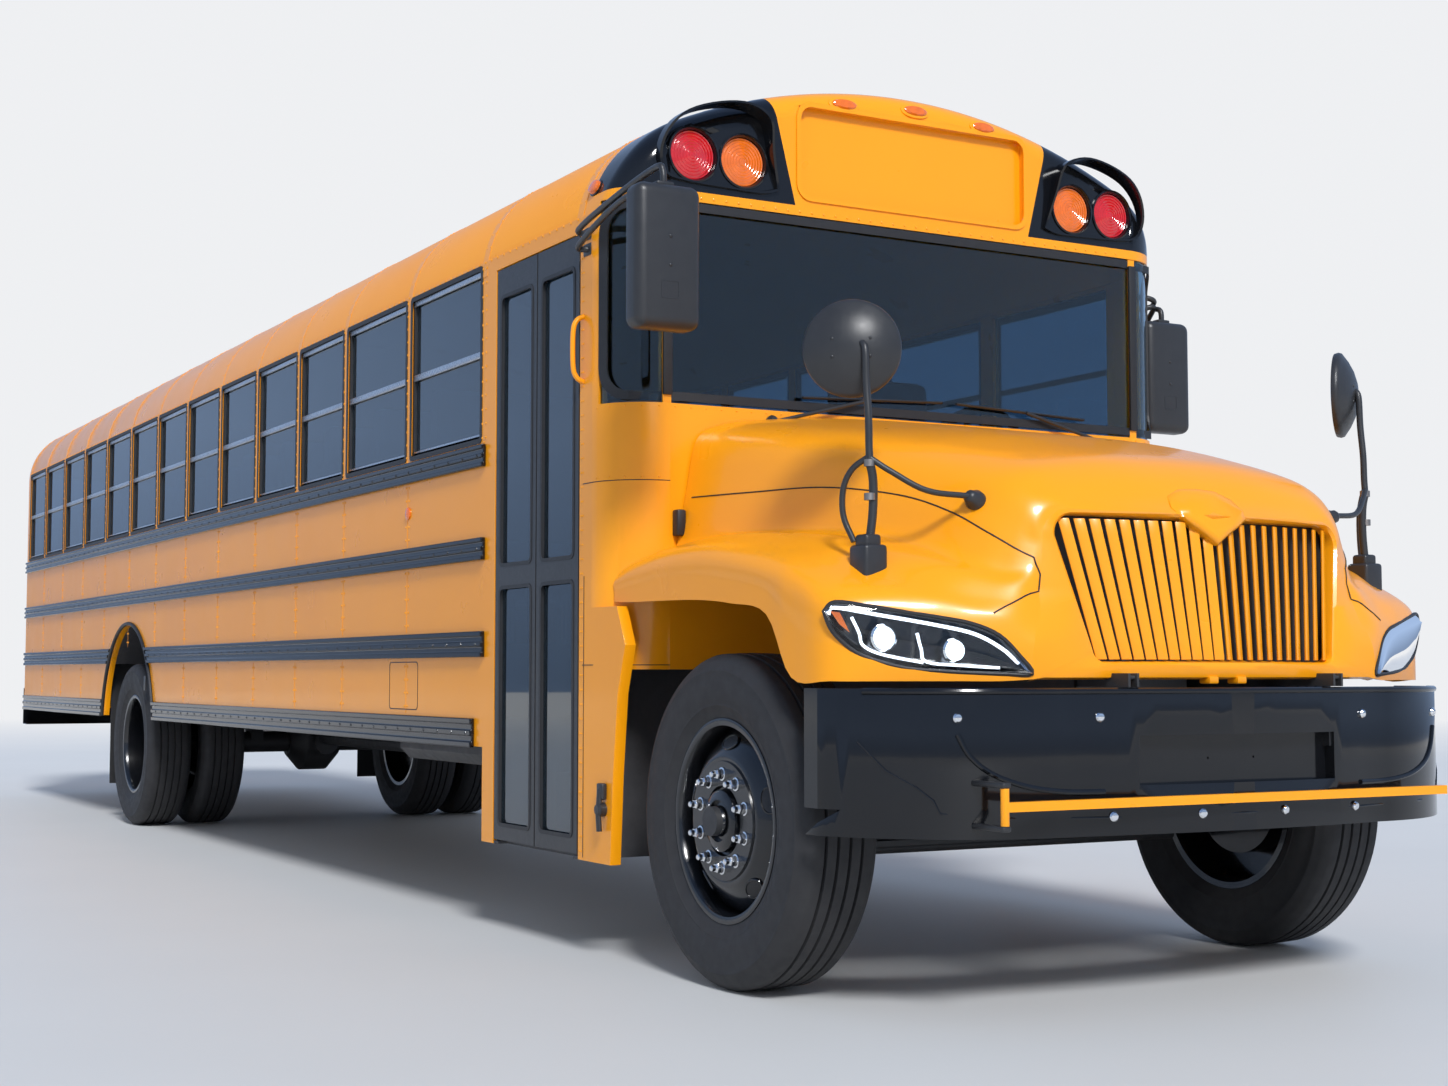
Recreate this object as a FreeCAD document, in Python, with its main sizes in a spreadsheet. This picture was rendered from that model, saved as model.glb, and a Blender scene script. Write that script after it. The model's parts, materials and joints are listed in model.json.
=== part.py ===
"""School bus with a tilting hood, built about the middle of its footprint.

Millimetres and degrees. +X is forward, +Y is the driver's side, +Z is up, and
the tyres stand on Z = 0. Every size has one row in SIZES.
"""
import FreeCAD, Part
import math
import os
import re
import Sketcher
from FreeCAD import Placement, Rotation, Vector

SIZES = (
    # name, millimetres
    # stance
    ("front_axle_x", 5150),
    ("rear_axle_x", -2500),
    ("tyre_radius", 515),
    ("tyre_width", 280),
    ("rim_radius", 298),
    ("front_wheel_y", 1030),
    ("rear_outer_wheel_y", 1060),
    ("twin_spacing", 336),
    ("kingpin_y", 880),
    ("stud_circle_radius", 142.875),
    ("stud_hole_radius", 13),
    ("hub_radius", 95),
    ("spindle_radius", 45),
    ("drum_radius", 190),
    ("rim_wall", 12),
    ("dish_depth", 70),
    ("front_disc_y", 110),
    ("hand_hole_circle", 235),
    ("hand_hole_radius", 26),
    ("running_gap", 0.3),
    # shell
    ("body_half", 1220),
    ("wall", 40),
    ("skirt_z", 686),
    ("lower_front_z", 330),
    ("wall_top_z", 2560),
    ("shoulder_z", 2500),
    ("shoulder_radius", 422),
    ("crown_z", 3100),
    ("rear_x", -6080),
    ("screen_x", 4567),
    ("front_corner_radius", 200),
    ("pillar_front_x", 4410),
    ("cowl_bottom_z", 980),
    ("cowl_top_z", 1885),
    ("cap_bottom_z", 2590),
    ("cap_edge_radius", 90),
    ("floor_top_z", 1080),
    ("floor_thick", 50),
    ("sill_height", 50),
    ("sill_width", 90),
    ("arch_radius", 705),
    ("arch_centre_z", 573),
    ("housing_wall", 15),
    ("housing_inner_y", 470),
    # side windows
    ("first_post_x", 3408),
    ("wide_pitch", 828),
    ("window_pitch", 711),
    ("post_half", 28),
    ("rear_post", 90),
    ("window_sill_z", 1864),
    ("window_head_z", 2542),
    ("window_bar_z", 2204),
    ("sash_width", 24),
    ("sash_depth", 28),
    ("glass_thick", 6),
    # entry door
    ("door_rear_x", 3524),
    ("door_front_x", 4273),
    ("door_split_x", 3905),
    ("door_top_z", 2500),
    ("door_bottom_z", 347),
    ("door_jamb_gap", 10),
    ("door_split_gap", 8),
    ("door_head_gap", 6),
    ("door_pivot_inset", 24),
    ("door_pivot_depth", 12),
    ("door_pin_radius", 6),
    ("door_leaf_thick", 35),
    ("door_stile", 42),
    ("door_belt_z", 1330),
    ("door_belt_height", 90),
    ("step_rise", 245),
    ("step_run", 225),
    ("step_plate", 15),
    # rear emergency door
    ("rear_door_half", 450),
    ("rear_door_bottom_z", 1090),
    ("rear_door_top_z", 2500),
    ("rear_door_gap", 6),
    ("hinge_radius", 8),
    ("hinge_pin_radius", 4),
    ("hinge_half_length", 60),
    ("rear_window_inner_y", 560),
    ("rear_window_outer_y", 1060),
    ("rear_window_low_z", 1900),
    # rub rails
    ("rail_proud", 20),
    ("rail_front_x", 3430),
    ("rail_rear_x", -6050),
    # chassis
    ("frame_half", 430),
    ("frame_top_z", 980),
    ("frame_depth", 250),
    ("frame_flange", 76),
    ("frame_web", 9),
    ("frame_rear_x", -6040),
    ("frame_front_x", 5960),
    ("crossmember", 90),
    ("spring_width", 80),
    ("spring_thick", 60),
    ("axle_tube_radius", 68),
    ("exhaust_y", 240),
    ("exhaust_z", 640),
    ("beam_height", 80),
    ("beam_half", 45),
    ("beam_drop", 60),
    ("front_spring_reach", 600),
    ("rear_spring_reach", 700),
    ("kingpin_radius", 22),
    ("steering_arm_reach", 240),
    ("bowl_radius", 190),
    ("bowl_half", 170),
    ("shaft_radius", 55),
    ("shaft_front_x", 3700),
    ("exhaust_radius", 50),
    ("exhaust_front_x", 4300),
    ("silencer_radius", 130),
    ("silencer_rear_x", 600),
    ("silencer_length", 1100),
    ("tank_rear_x", 2250),
    ("tank_length", 1050),
    ("tank_low_z", 600),
    ("tank_high_z", 960),
    ("tank_gap", 40),
    ("tank_chamfer", 45),
    ("engine_rear_x", 4600),
    ("engine_front_x", 5600),
    ("engine_half", 340),
    ("engine_low_z", 640),
    ("engine_high_z", 1480),
    ("shroud_half", 250),
    ("radiator_half", 440),
    ("radiator_high_z", 1400),
    ("flap_inner_y", 560),
    ("flap_low_z", 230),
    # front end
    ("hood_wall", 14),
    ("cowl_gap", 10),
    ("hood_pivot_x", 6172),
    ("hood_pivot_z", 955),
    ("hood_hinge_y", 400),
    ("hood_hinge_width", 24),
    ("hood_ear_thick", 8),
    ("hood_pin_radius", 6),
    ("grille_top_z", 1418),
    ("grille_bottom_z", 1004),
    ("grille_half_top", 548),
    ("grille_half_bottom", 466),
    ("grille_front", 985),
    ("grille_bow", 70),
    ("grille_depth", 60),
    ("slat_pitch_bottom", 45),
    ("slat_pitch_top", 53),
    ("slat_gap_half", 12),
    ("bumper_x", 6200),
    ("bumper_low_z", 515),
    ("bumper_high_z", 925),
    ("bumper_half", 1190),
    ("bumper_skin", 12),
    ("end_x", 6235),
    ("tow_hole_radius", 22),
    # crossing arm and stop arm
    ("crossing_pivot_y", 885),
    ("crossing_reach", 1691),
    ("crossing_z", 610),
    ("stop_pivot_x", 3250),
    ("stop_centre_z", 1620),
    ("stop_across", 450),
    ("stop_plate", 6),
    ("arm_gap", 6),
    # mirrors
    ("mirror_half_width", 115),
    ("mirror_height", 455),
    ("mirror_depth", 110),
    ("mirror_reach", 230),
    ("mirror_root_x", 4330),
    ("right_mirror_x", 5110),
    ("right_mirror_z", 2250),
    ("left_mirror_x", 4390),
    ("left_mirror_z", 2165),
    ("arm_radius", 13),
    ("stalk_radius", 13),
    ("cross_mirror_ahead", 514),
    ("cross_mirror_y", 1000),
    ("cross_mirror_z", 1921),
    ("cross_mirror_radius", 150),
    # lamps
    ("signal_z", 2755),
    ("signal_outer_y", 931),
    ("signal_inner_y", 732),
    ("signal_radius", 86),
    ("lamp_recess", 25),
    ("lamp_proud", 22),
    ("lamp_brow", 12),
    ("marker_pitch", 311),
    ("marker_half", 45),
    ("tail_lamp_z", 1560),
    # inside
    ("driver_x", 4150),
    ("driver_y", 560),
    ("chair_half", 245),
    ("wheel_z", 1800),
    ("wheel_radius", 220),
    ("column_radius", 35),
    ("dash_half", 960),
    ("dash_low_z", 1500),
    ("dash_height", 360),
    ("seat_width", 990),
    ("seat_pitch", 711),
    ("seat_first_x", 2700),
    ("seat_rows", 12),
)

doc = FreeCAD.newDocument("school_bus")
sheet = doc.addObject("Spreadsheet::Sheet", "Sizes")
for row, (size_name, size_value) in enumerate(SIZES, start=1):
    sheet.set(f"A{row}", size_name)
    sheet.set(f"B{row}", str(size_value))
    sheet.setAlias(f"B{row}", size_name)
doc.recompute()

NAMES = {size_name for size_name, _ in SIZES}
NODES = []
FORMS = {}


# ---------------------------------------------------------------- helpers

def formula(text):
    """An expression with each size's name pointed at its cell."""
    return re.sub(r"[a-z][a-z_]*", lambda word: "Sizes." + word.group()
                  if word.group() in NAMES else word.group(), str(text))


def number(text):
    """The present value of an expression."""
    return float(sheet.evalExpression(formula(text)))


def size(name):
    return float(sheet.get(name))


def node(thing, name):
    """Gives a finished piece the name that its file takes."""
    thing.Label = name
    NODES.append(thing)
    return thing


def put(thing, x="0", y="0", z="0"):
    for letter, text in zip("xyz", (x, y, z)):
        thing.setExpression(f"Placement.Base.{letter}", formula(text))
    return thing


def box(name, x, y, z):
    """A block between two expressions along each axis."""
    block = doc.addObject("Part::Box", name)
    for side, (low, high) in zip(("Length", "Width", "Height"), (x, y, z)):
        block.setExpression(side, formula(f"({high}) - ({low})"))
    return put(block, x[0], y[0], z[0])


AXES = {"x": Rotation(Vector(0, 1, 0), 90),
        "y": Rotation(Vector(1, 0, 0), -90),
        "z": Rotation()}


def rod(name, along, centre, radius, low, high, sides=0):
    """A bar along an axis, round unless it has sides. centre gives the two other coordinates."""
    bar = doc.addObject("Part::Prism" if sides else "Part::Cylinder", name)
    if sides:
        bar.Polygon = sides
    bar.setExpression("Circumradius" if sides else "Radius", formula(radius))
    bar.setExpression("Height", formula(f"({high}) - ({low})"))
    bar.Placement = Placement(Vector(), AXES[along])
    place = list(centre)
    place.insert("xyz".index(along), low)
    return put(bar, *place)


def fuse(name, pieces):
    joined = doc.addObject("Part::MultiFuse", name)
    joined.Shapes = list(pieces)
    joined.Refine = True
    return joined


def group(name, pieces):
    bundle = doc.addObject("Part::Compound", name)
    bundle.Links = list(pieces)
    return bundle


def cut(name, base, tools):
    tools = list(tools)
    result = doc.addObject("Part::Cut", name)
    result.Base = base
    result.Tool = tools[0] if len(tools) == 1 else group(name + "_tools", tools)
    return result


def common(name, pieces):
    shared = doc.addObject("Part::MultiCommon", name)
    shared.Shapes = list(pieces)
    return shared


def mirrored(name, source):
    """The same piece on the other side of the bus."""
    twin = doc.addObject("Part::Mirroring", name)
    twin.Source = source
    twin.Normal = Vector(0, 1, 0)
    return twin


def copy_at(name, source, x="0", y="0", z="0"):
    twin = doc.addObject("App::Link", name)
    twin.LinkedObject = source
    twin.LinkTransform = True
    return put(twin, x, y, z)


def origin_plane(body, role):
    return next(f for f in body.Origin.OriginFeatures if f.Role == role)


def arc_between(start, end, radius):
    """The short arc; it turns left for a positive radius."""
    chord = end - start
    middle = (start + end) / 2
    left = Vector(-chord.y, chord.x, 0).normalize()
    reach = math.sqrt(max(radius ** 2 - (chord.Length / 2) ** 2, 0))
    centre = middle + left * math.copysign(reach, radius)
    first, last = (start, end) if radius > 0 else (end, start)
    circle = Part.Circle(centre, Vector(0, 0, 1), abs(radius))
    angles = [math.atan2(p.y - centre.y, p.x - centre.x) for p in (first, last)]
    return Part.ArcOfCircle(circle, *angles)


def outline(body, name, plane, corners):
    """A closed sketch. A corner is (across, up) or (across, up, radius), where
    the radius bends the side that leaves it, to the left if positive."""
    sketch = body.newObject("Sketcher::SketchObject", name)
    sketch.AttachmentSupport = [(origin_plane(body, plane + "_Plane"), "")]
    sketch.MapMode = "FlatFace"
    spots = [Vector(number(c[0]), number(c[1]), 0) for c in corners]
    ends = []
    for index, corner in enumerate(corners):
        start, end = spots[index], spots[(index + 1) % len(spots)]
        if len(corner) == 3:
            radius = number(corner[2])
            sketch.addGeometry(arc_between(start, end, radius), False)
            ends.append((1, 2) if radius > 0 else (2, 1))
        else:
            sketch.addGeometry(Part.LineSegment(start, end), False)
            ends.append((1, 2))
    rules = []
    for index, corner in enumerate(corners):
        after = (index + 1) % len(corners)
        rules.append((None, Sketcher.Constraint(
            "Coincident", index, ends[index][1], after, ends[after][0])))
        for kind, text in (("DistanceX", corner[0]), ("DistanceY", corner[1])):
            rules.append((text, Sketcher.Constraint(
                kind, -1, 1, index, ends[index][0], number(text))))
        if len(corner) == 3:
            text = f"abs({corner[2]})"
            rules.append((text, Sketcher.Constraint("Radius", index, number(text))))
    sketch.addConstraint([rule for _, rule in rules])
    for index, (text, _) in enumerate(rules):
        if text is not None:
            sketch.setExpression(f"Constraints[{index}]", formula(text))
    return sketch


NORMALS = {"XY": "z", "XZ": "y", "YZ": "x"}


def pad(name, plane, corners, low, high):
    """An outline carried from low to high along its plane's normal."""
    body = doc.addObject("PartDesign::Body", name)
    sketch = outline(body, name + "_outline", plane, corners)
    feature = body.newObject("PartDesign::Pad", name + "_pad")
    feature.Profile = sketch
    feature.Reversed = plane == "XZ"
    feature.setExpression("Length", formula(f"({high}) - ({low})"))
    body.Tip = feature
    sketch.Visibility = False
    return put(body, **{NORMALS[plane]: low})


def turned(name, corners):
    """An outline of (radius, along Y) turned a full circle about Y."""
    body = doc.addObject("PartDesign::Body", name)
    sketch = outline(body, name + "_outline", "XY", corners)
    feature = body.newObject("PartDesign::Revolution", name + "_turn")
    feature.Profile = sketch
    feature.ReferenceAxis = (sketch, ["V_Axis"])
    feature.Angle = 360
    body.Tip = feature
    return body


def tapered(name, spans):
    """A many-sided solid about Y through (radius, along Y) pairs."""
    turns = [step * math.pi / 12 for step in range(24)]
    rings = []
    for radius, y in spans:
        rings.append([Vector(number(radius) * math.cos(turn), number(y), number(radius) * math.sin(turn))
                      for turn in turns])
    return shaped(name, faceted(rings))


def faceted(rings):
    """A solid of flat faces through rings of points, alike on both sides of Y = 0."""
    outlines = [rings[0], rings[-1]]
    for near, far in zip(rings, rings[1:]):
        for index, corner in enumerate(near):
            after = (index + 1) % len(near)
            corners = [corner, near[after], far[after], far[index]]
            if corner.y + near[after].y < 0:
                corners = corners[1:] + corners[:1]
            outlines += [corners[:3], corners[2:] + corners[:1]]
    faces = [Part.Face(Part.makePolygon(points + points[:1])) for points in outlines]
    shell = Part.Shell(faces)
    shell.sewShape()
    return Part.Solid(shell)


def shaped(name, shape):
    """A piece whose shape is worked out below from the sheet's sizes."""
    piece = doc.addObject("Part::Feature", name)
    piece.Shape = shape
    return piece


def limb(points, radius):
    """An eight-sided bar through the given points, its lengths lapped at each corner."""
    lengths = []
    for index, (start, end) in enumerate(zip(points, points[1:])):
        along = (end - start).normalize()
        first = start - along * (0.3 * radius if index else 0)
        last = end + along * (0.3 * radius if index < len(points) - 2 else 0)
        turn = Rotation(Vector(0, 0, 1), along)
        ring = [first + turn.multVec(Vector(radius * math.cos(step * math.pi / 4),
                                            radius * math.sin(step * math.pi / 4), 0))
                for step in range(8)]
        lengths.append(Part.Face(Part.makePolygon(ring + ring[:1])).extrude(last - first))
    bar = lengths[0]
    for length in lengths[1:]:
        bar = bar.fuse(length)
    return bar.removeSplitter()


# ---------------------------------------------------------------- body form

CROWN_RADIUS = ("(((body_half - shoulder_radius)^2 + (crown_z - shoulder_z)^2"
                " - shoulder_radius^2) / (2 * (crown_z - shoulder_z - shoulder_radius)))")
CROWN_CENTRE = f"(crown_z - {CROWN_RADIUS})"
CORNER_Y = "(body_half - shoulder_radius)"


def roof_arc(base, inset="0"):
    """The roof's cross-section from the left eave over to the right one."""
    reach = f"(shoulder_radius - {inset})"
    crown = f"({CROWN_RADIUS} - {inset})"
    share = f"({crown} / ({CROWN_RADIUS} - shoulder_radius))"
    eave = f"({CORNER_Y} + sqrt({reach}^2 - ({base} - shoulder_z)^2))"
    seam_y = f"({CORNER_Y} * {share})"
    seam_z = f"({CROWN_CENTRE} + (shoulder_z - {CROWN_CENTRE}) * {share})"
    return eave, reach, crown, seam_y, seam_z


def section(base, foot=None, inset="0"):
    """A closed body section whose sides drop straight to the foot."""
    eave, reach, crown, seam_y, seam_z = roof_arc(base, inset)
    corners = [(eave, base, reach), (seam_y, seam_z, crown),
               (f"-{seam_y}", seam_z, reach), (f"-{eave}", base)]
    if foot is not None:
        corners = corners + [(f"-{eave}", foot), (eave, foot)]
    return corners


def roof_shell_outline(base):
    outer = section(base)
    eave, reach, crown, seam_y, seam_z = roof_arc(base, "wall")
    return outer + [(f"-{eave}", base, f"-{reach}"), (f"-{seam_y}", seam_z, f"-{crown}"),
                    (seam_y, seam_z, f"-{reach}"), (eave, base)]


def plan(rear, inset="0"):
    """The body seen from above, with round front corners."""
    half = f"(body_half - {inset})"
    nose = f"(screen_x - {inset})"
    reach = f"(front_corner_radius - {inset})"
    corner_x = "(screen_x - front_corner_radius)"
    corner_y = "(body_half - front_corner_radius)"
    return [(rear, f"-{half}"), (corner_x, f"-{half}", reach), (nose, f"-{corner_y}"),
            (nose, corner_y, reach), (corner_x, half), (rear, half)]


def plan_ring(rear, outer="0", inner="wall"):
    """The front wall seen from above, open to the rear."""
    back = list(reversed(plan(rear, inner)))
    inner_side = []
    for index, corner in enumerate(back):
        after = back[(index + 1) % len(back)]
        bend = after[2] if len(after) == 3 else None
        inner_side.append(corner[:2] + ((f"-{bend}",) if bend else ()))
    return plan(rear, outer) + inner_side


def post_x(index):
    """The middle of a window post, counted back from the entry door."""
    wide = min(index, 2)
    return f"(first_post_x - {wide} * wide_pitch - {index - wide} * window_pitch)"


WINDOW_COUNT = 13


def window_span(index):
    front = f"{post_x(index)} - post_half"
    rear = f"{post_x(index + 1)} + post_half"
    if index == WINDOW_COUNT - 1:
        rear = "rear_x + rear_post"
    return rear, front


# ---------------------------------------------------------------- shell

SIGNAL_LAMPS = (
    # colour, along y, z, radius
    ("red", "signal_outer_y", "signal_z", "signal_radius"),
    ("amber", "signal_inner_y", "signal_z", "signal_radius"),
)

DOOR_PIVOTS = ("door_rear_x + door_pivot_inset", "door_front_x - door_pivot_inset")


def side_openings(side):
    """The window holes and the wheel arch of one side wall."""
    tools = []
    for index in range(WINDOW_COUNT):
        tools.append(box(f"{side}_window_hole", window_span(index),
                         ("-wall", "2 * wall"), ("window_sill_z", "window_head_z")))
    tools.append(rod(f"{side}_arch_hole", "y", ("rear_axle_x", "arch_centre_z"),
                     "arch_radius", "-wall", "2 * wall"))
    return tools


def make_side_walls():
    right = fuse("right_panel", [
        box("right_skin", ("rear_x + wall", "door_rear_x"), ("0", "wall"),
            ("skirt_z", "wall_top_z")),
        box("door_head", ("door_rear_x - 1", "door_front_x"),
            ("0", "wall"), ("door_top_z + door_head_gap", "wall_top_z")),
        box("door_post_foot", ("door_rear_x - 110", "door_rear_x"), ("0", "wall"),
            ("lower_front_z", "skirt_z + 1"))])
    right = cut("right_pierced", right, side_openings("right"))
    right = fuse("side_wall_right", [right] + [
        rod("door_top_pin", "z", (x, "door_pivot_depth"), "door_pin_radius",
            "door_top_z - 20", "door_top_z + door_head_gap + 1") for x in DOOR_PIVOTS])
    node(put(right, y="-body_half"), "side_wall_right")
    left = fuse("left_panel", [
        box("left_skin", ("rear_x + wall", "door_front_x"), ("0", "wall"),
            ("skirt_z", "wall_top_z")),
        box("left_foot", ("door_rear_x - 110", "door_front_x"), ("0", "wall"),
            ("lower_front_z", "skirt_z + 1"))])
    driver_window = box("driver_window_hole", ("first_post_x + 60", "door_front_x - 40"),
                        ("-wall", "2 * wall"), ("window_sill_z", "window_head_z"))
    left = cut("side_wall_left", left, side_openings("left") + [driver_window])
    node(put(left, y="body_half - wall"), "side_wall_left")


def make_roof():
    roof = pad("roof", "YZ", roof_shell_outline("wall_top_z"), "rear_x + wall", "door_front_x")
    node(roof, "roof")


def make_front_cap():
    bulk = pad("cap_bulk", "YZ", section("wall_top_z", "wall_top_z - 1"), "door_front_x", "screen_x")
    outer = common("cap_form", [bulk, pad("cap_plan", "XY", plan("door_front_x - wall"),
                                          "wall_top_z", "crown_z + wall")])
    doc.recompute()
    rounded = doc.addObject("Part::Fillet", "cap_rounded")
    rounded.Base = outer
    FORMS["cap"] = rounded
    edge_radius = size("cap_edge_radius")
    front_edges = [index for index, edge in enumerate(outer.Shape.Edges, start=1)
                   if edge.BoundBox.XMin > size("screen_x") - size("front_corner_radius") - 1
                   and edge.BoundBox.ZMin > size("wall_top_z") + 2
                   and edge.BoundBox.ZLength < size("crown_z") - size("wall_top_z") - 20]
    rounded.Edges = [(index, edge_radius, edge_radius) for index in front_edges]
    hollow = common("cap_hollow", [
        pad("hollow_bulk", "YZ", section("wall_top_z - 2", "wall_top_z - 9", "wall"),
            "door_front_x - wall", "screen_x - wall"),
        pad("hollow_plan", "XY", plan("door_front_x - 2 * wall", "wall"),
            "wall_top_z - 10", "crown_z")])
    screen_head = box("screen_head", ("pillar_front_x", "screen_x + wall"),
                      ("-body_half", "body_half"), ("wall_top_z - wall", "cap_bottom_z"))
    sign_recess = box("sign_recess", ("screen_x - 25", "screen_x + wall"), ("-500", "500"),
                      ("cap_bottom_z + 70", "cap_bottom_z + 400"))
    pockets = [rod("lamp_pocket", "x", (f"{side} * {y}", z), f"{radius} + lamp_brow",
                   "screen_x - lamp_recess", "screen_x + wall", 24)
               for side in ("-1", "1") for _, y, z, radius in SIGNAL_LAMPS]
    cap = cut("front_cap", rounded, [hollow, screen_head, sign_recess] + pockets)
    node(cap, "front_cap")


def make_rear_wall():
    wall_plate = pad("rear_plate", "YZ", section("shoulder_z", "skirt_z"), "0", "wall")
    door_hole = box("rear_door_hole", ("-wall", "2 * wall"), ("-rear_door_half", "rear_door_half"),
                    ("rear_door_bottom_z", "rear_door_top_z"))
    panes = [box("rear_pane_hole", ("-wall", "2 * wall"), span, ("rear_window_low_z", "window_head_z"))
             for span in (("-rear_window_outer_y", "-rear_window_inner_y"),
                          ("rear_window_inner_y", "rear_window_outer_y"))]
    plate_bore = [rod("plate_bolt_hole", "x", (y, "skirt_z + 60"), "3.5", "-wall", "2 * wall")
                  for y in ("-89", "89")]
    rear = cut("rear_pierced", wall_plate, [door_hole] + panes + plate_bore)
    put(rear, x="rear_x")
    node(fuse("rear_wall", [rear] + rear_hinge_halves()), "rear_wall")


def quarter_corners():
    """The panel between the entry door and the front wheel, seen from the side."""
    return [("door_front_x", "lower_front_z"), ("front_axle_x - 627", "lower_front_z"),
            ("front_axle_x - 606", "633"), ("front_axle_x - 575", "900"),
            ("front_axle_x - 520", "1060"), ("front_axle_x - 583", "1190"),
            ("screen_x - front_corner_radius", "1190"),
            ("screen_x - front_corner_radius", "cowl_bottom_z + 300"),
            ("door_front_x", "cowl_bottom_z + 300")]


def make_cowl():
    ring = pad("cowl_ring", "XY", plan_ring("door_front_x"), "cowl_bottom_z", "cowl_top_z")
    pieces = [ring]
    for side, low, high in (("right", "-body_half", "wall - body_half"),
                            ("left", "body_half - wall", "body_half")):
        pieces.append(box(f"{side}_pillar", ("door_front_x", "pillar_front_x"), (low, high),
                          ("cowl_top_z - 1", "wall_top_z")))
        pieces.append(pad(f"{side}_quarter", "XZ", quarter_corners(), low, high))
    for y in ("-1030", "1030"):
        pieces.append(box("screen_post", ("screen_x - wall", "screen_x - 4"), (f"{y} - 16", f"{y} + 16"),
                          ("cowl_top_z - 1", "cap_bottom_z")))
    joined = fuse("cowl_joined", pieces)
    limit = pad("cowl_limit", "XY", plan("door_front_x"), "0", "wall_top_z + wall")
    trim = common("cowl_trimmed", [joined, limit])
    quarters = [piece for piece in pieces if piece.Name.endswith("quarter")]
    node(fuse("cowl", [trim] + quarters), "cowl")


def make_windshield():
    ring = pad("screen_ring", "XY", plan_ring("door_front_x", "8", "14"), "cowl_top_z", "cap_bottom_z")
    behind = box("screen_behind", ("door_front_x - wall", "pillar_front_x"), ("-body_half", "body_half"),
                 ("cowl_top_z - wall", "cap_bottom_z + wall"))
    posts = [box("screen_gap", ("screen_x - 2 * wall", "screen_x + wall"), (f"{y} - 16", f"{y} + 16"),
                 ("cowl_top_z - wall", "cap_bottom_z + wall")) for y in ("-1030", "1030")]
    node(cut("windshield", ring, posts + [behind]), "windshield")


def make_windows():
    """Each bay's two-sash frame, and the panes that fill the frames."""
    frames = []
    for side, low in (("right", "-body_half + 6"), ("left", "body_half - 6 - sash_depth")):
        depth = (low, f"{low} + sash_depth")
        centre = f"({low}) + sash_depth / 2"
        pane_depth = (f"{centre} - glass_thick / 2", f"{centre} + glass_thick / 2")
        panes = []
        for index in range(WINDOW_COUNT):
            rear, front = window_span(index)
            sash = box("sash", (rear, front), depth, ("window_sill_z", "window_head_z"))
            inner = (f"{rear} + sash_width", f"{front} - sash_width")
            holes = []
            for bottom, top in (("window_sill_z + sash_width", "window_bar_z - sash_width / 2"),
                                ("window_bar_z + sash_width / 2", "window_head_z - sash_width")):
                holes.append(box("sash_hole", inner, (f"{low} - 1", f"{low} + sash_depth + 1"),
                                 (bottom, top)))
                panes.append(box("pane", inner, pane_depth, (bottom, top)))
            frames.append(cut("sash_frame", sash, holes))
        if side == "left":
            panes.append(box("driver_pane", ("first_post_x + 60", "door_front_x - 40"), pane_depth,
                             ("window_sill_z", "window_head_z")))
        node(group(f"side_glass_{side}", panes), f"side_glass_{side}")
    node(group("window_frames", frames), "window_frames")


def make_rear_glass():
    panes = [box("rear_pane", ("rear_x + 10", "rear_x + 10 + glass_thick"), span,
                 ("rear_window_low_z", "window_head_z"))
             for span in (("-rear_window_outer_y", "-rear_window_inner_y"),
                          ("rear_window_inner_y", "rear_window_outer_y"))]
    node(group("rear_glass", panes), "rear_glass")


def make_floor():
    plate = pad("floor_plate", "XY", plan("rear_x + wall", "wall"), "floor_top_z - floor_thick",
                "floor_top_z")
    sills = []
    for index in range(13):
        middle = f"(rear_x + 300 + {index} * 700)"
        sills.append(box("floor_sill", (f"{middle} - sill_width / 2", f"{middle} + sill_width / 2"),
                         ("-body_half + 70", "body_half - 70"),
                         ("floor_top_z - floor_thick - sill_height", "floor_top_z - floor_thick + 1")))
    housing_reach = "arch_radius + housing_wall"
    shells, clears = [], []
    for low, high in (("-body_half + wall", "-housing_inner_y"), ("housing_inner_y", "body_half - wall")):
        shells.append(rod("housing_shell", "y", ("rear_axle_x", "arch_centre_z"), housing_reach, low, high))
        inner_low = low if low.startswith("-") else f"{low} + housing_wall"
        inner_high = high if not low.startswith("-") else f"{high} - housing_wall"
        clears.append(rod("housing_clear", "y", ("rear_axle_x", "arch_centre_z"), "arch_radius",
                          inner_low, inner_high))
    below = box("below_floor", ("rear_x", "screen_x"), ("-body_half", "body_half"),
                ("-body_half", "floor_top_z - floor_thick"))
    crowns = cut("housing_crowns", group("housing_pair", shells), [below])
    step_hole = box("step_hole", ("door_rear_x", "door_front_x"),
                    ("-body_half", "-body_half + wall + 3 * step_run + step_plate"),
                    ("0", "floor_top_z + wall"))
    joined = fuse("floor_joined", [plate, crowns] + sills)
    node(cut("floor", joined, clears + [step_hole]), "floor")


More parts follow.
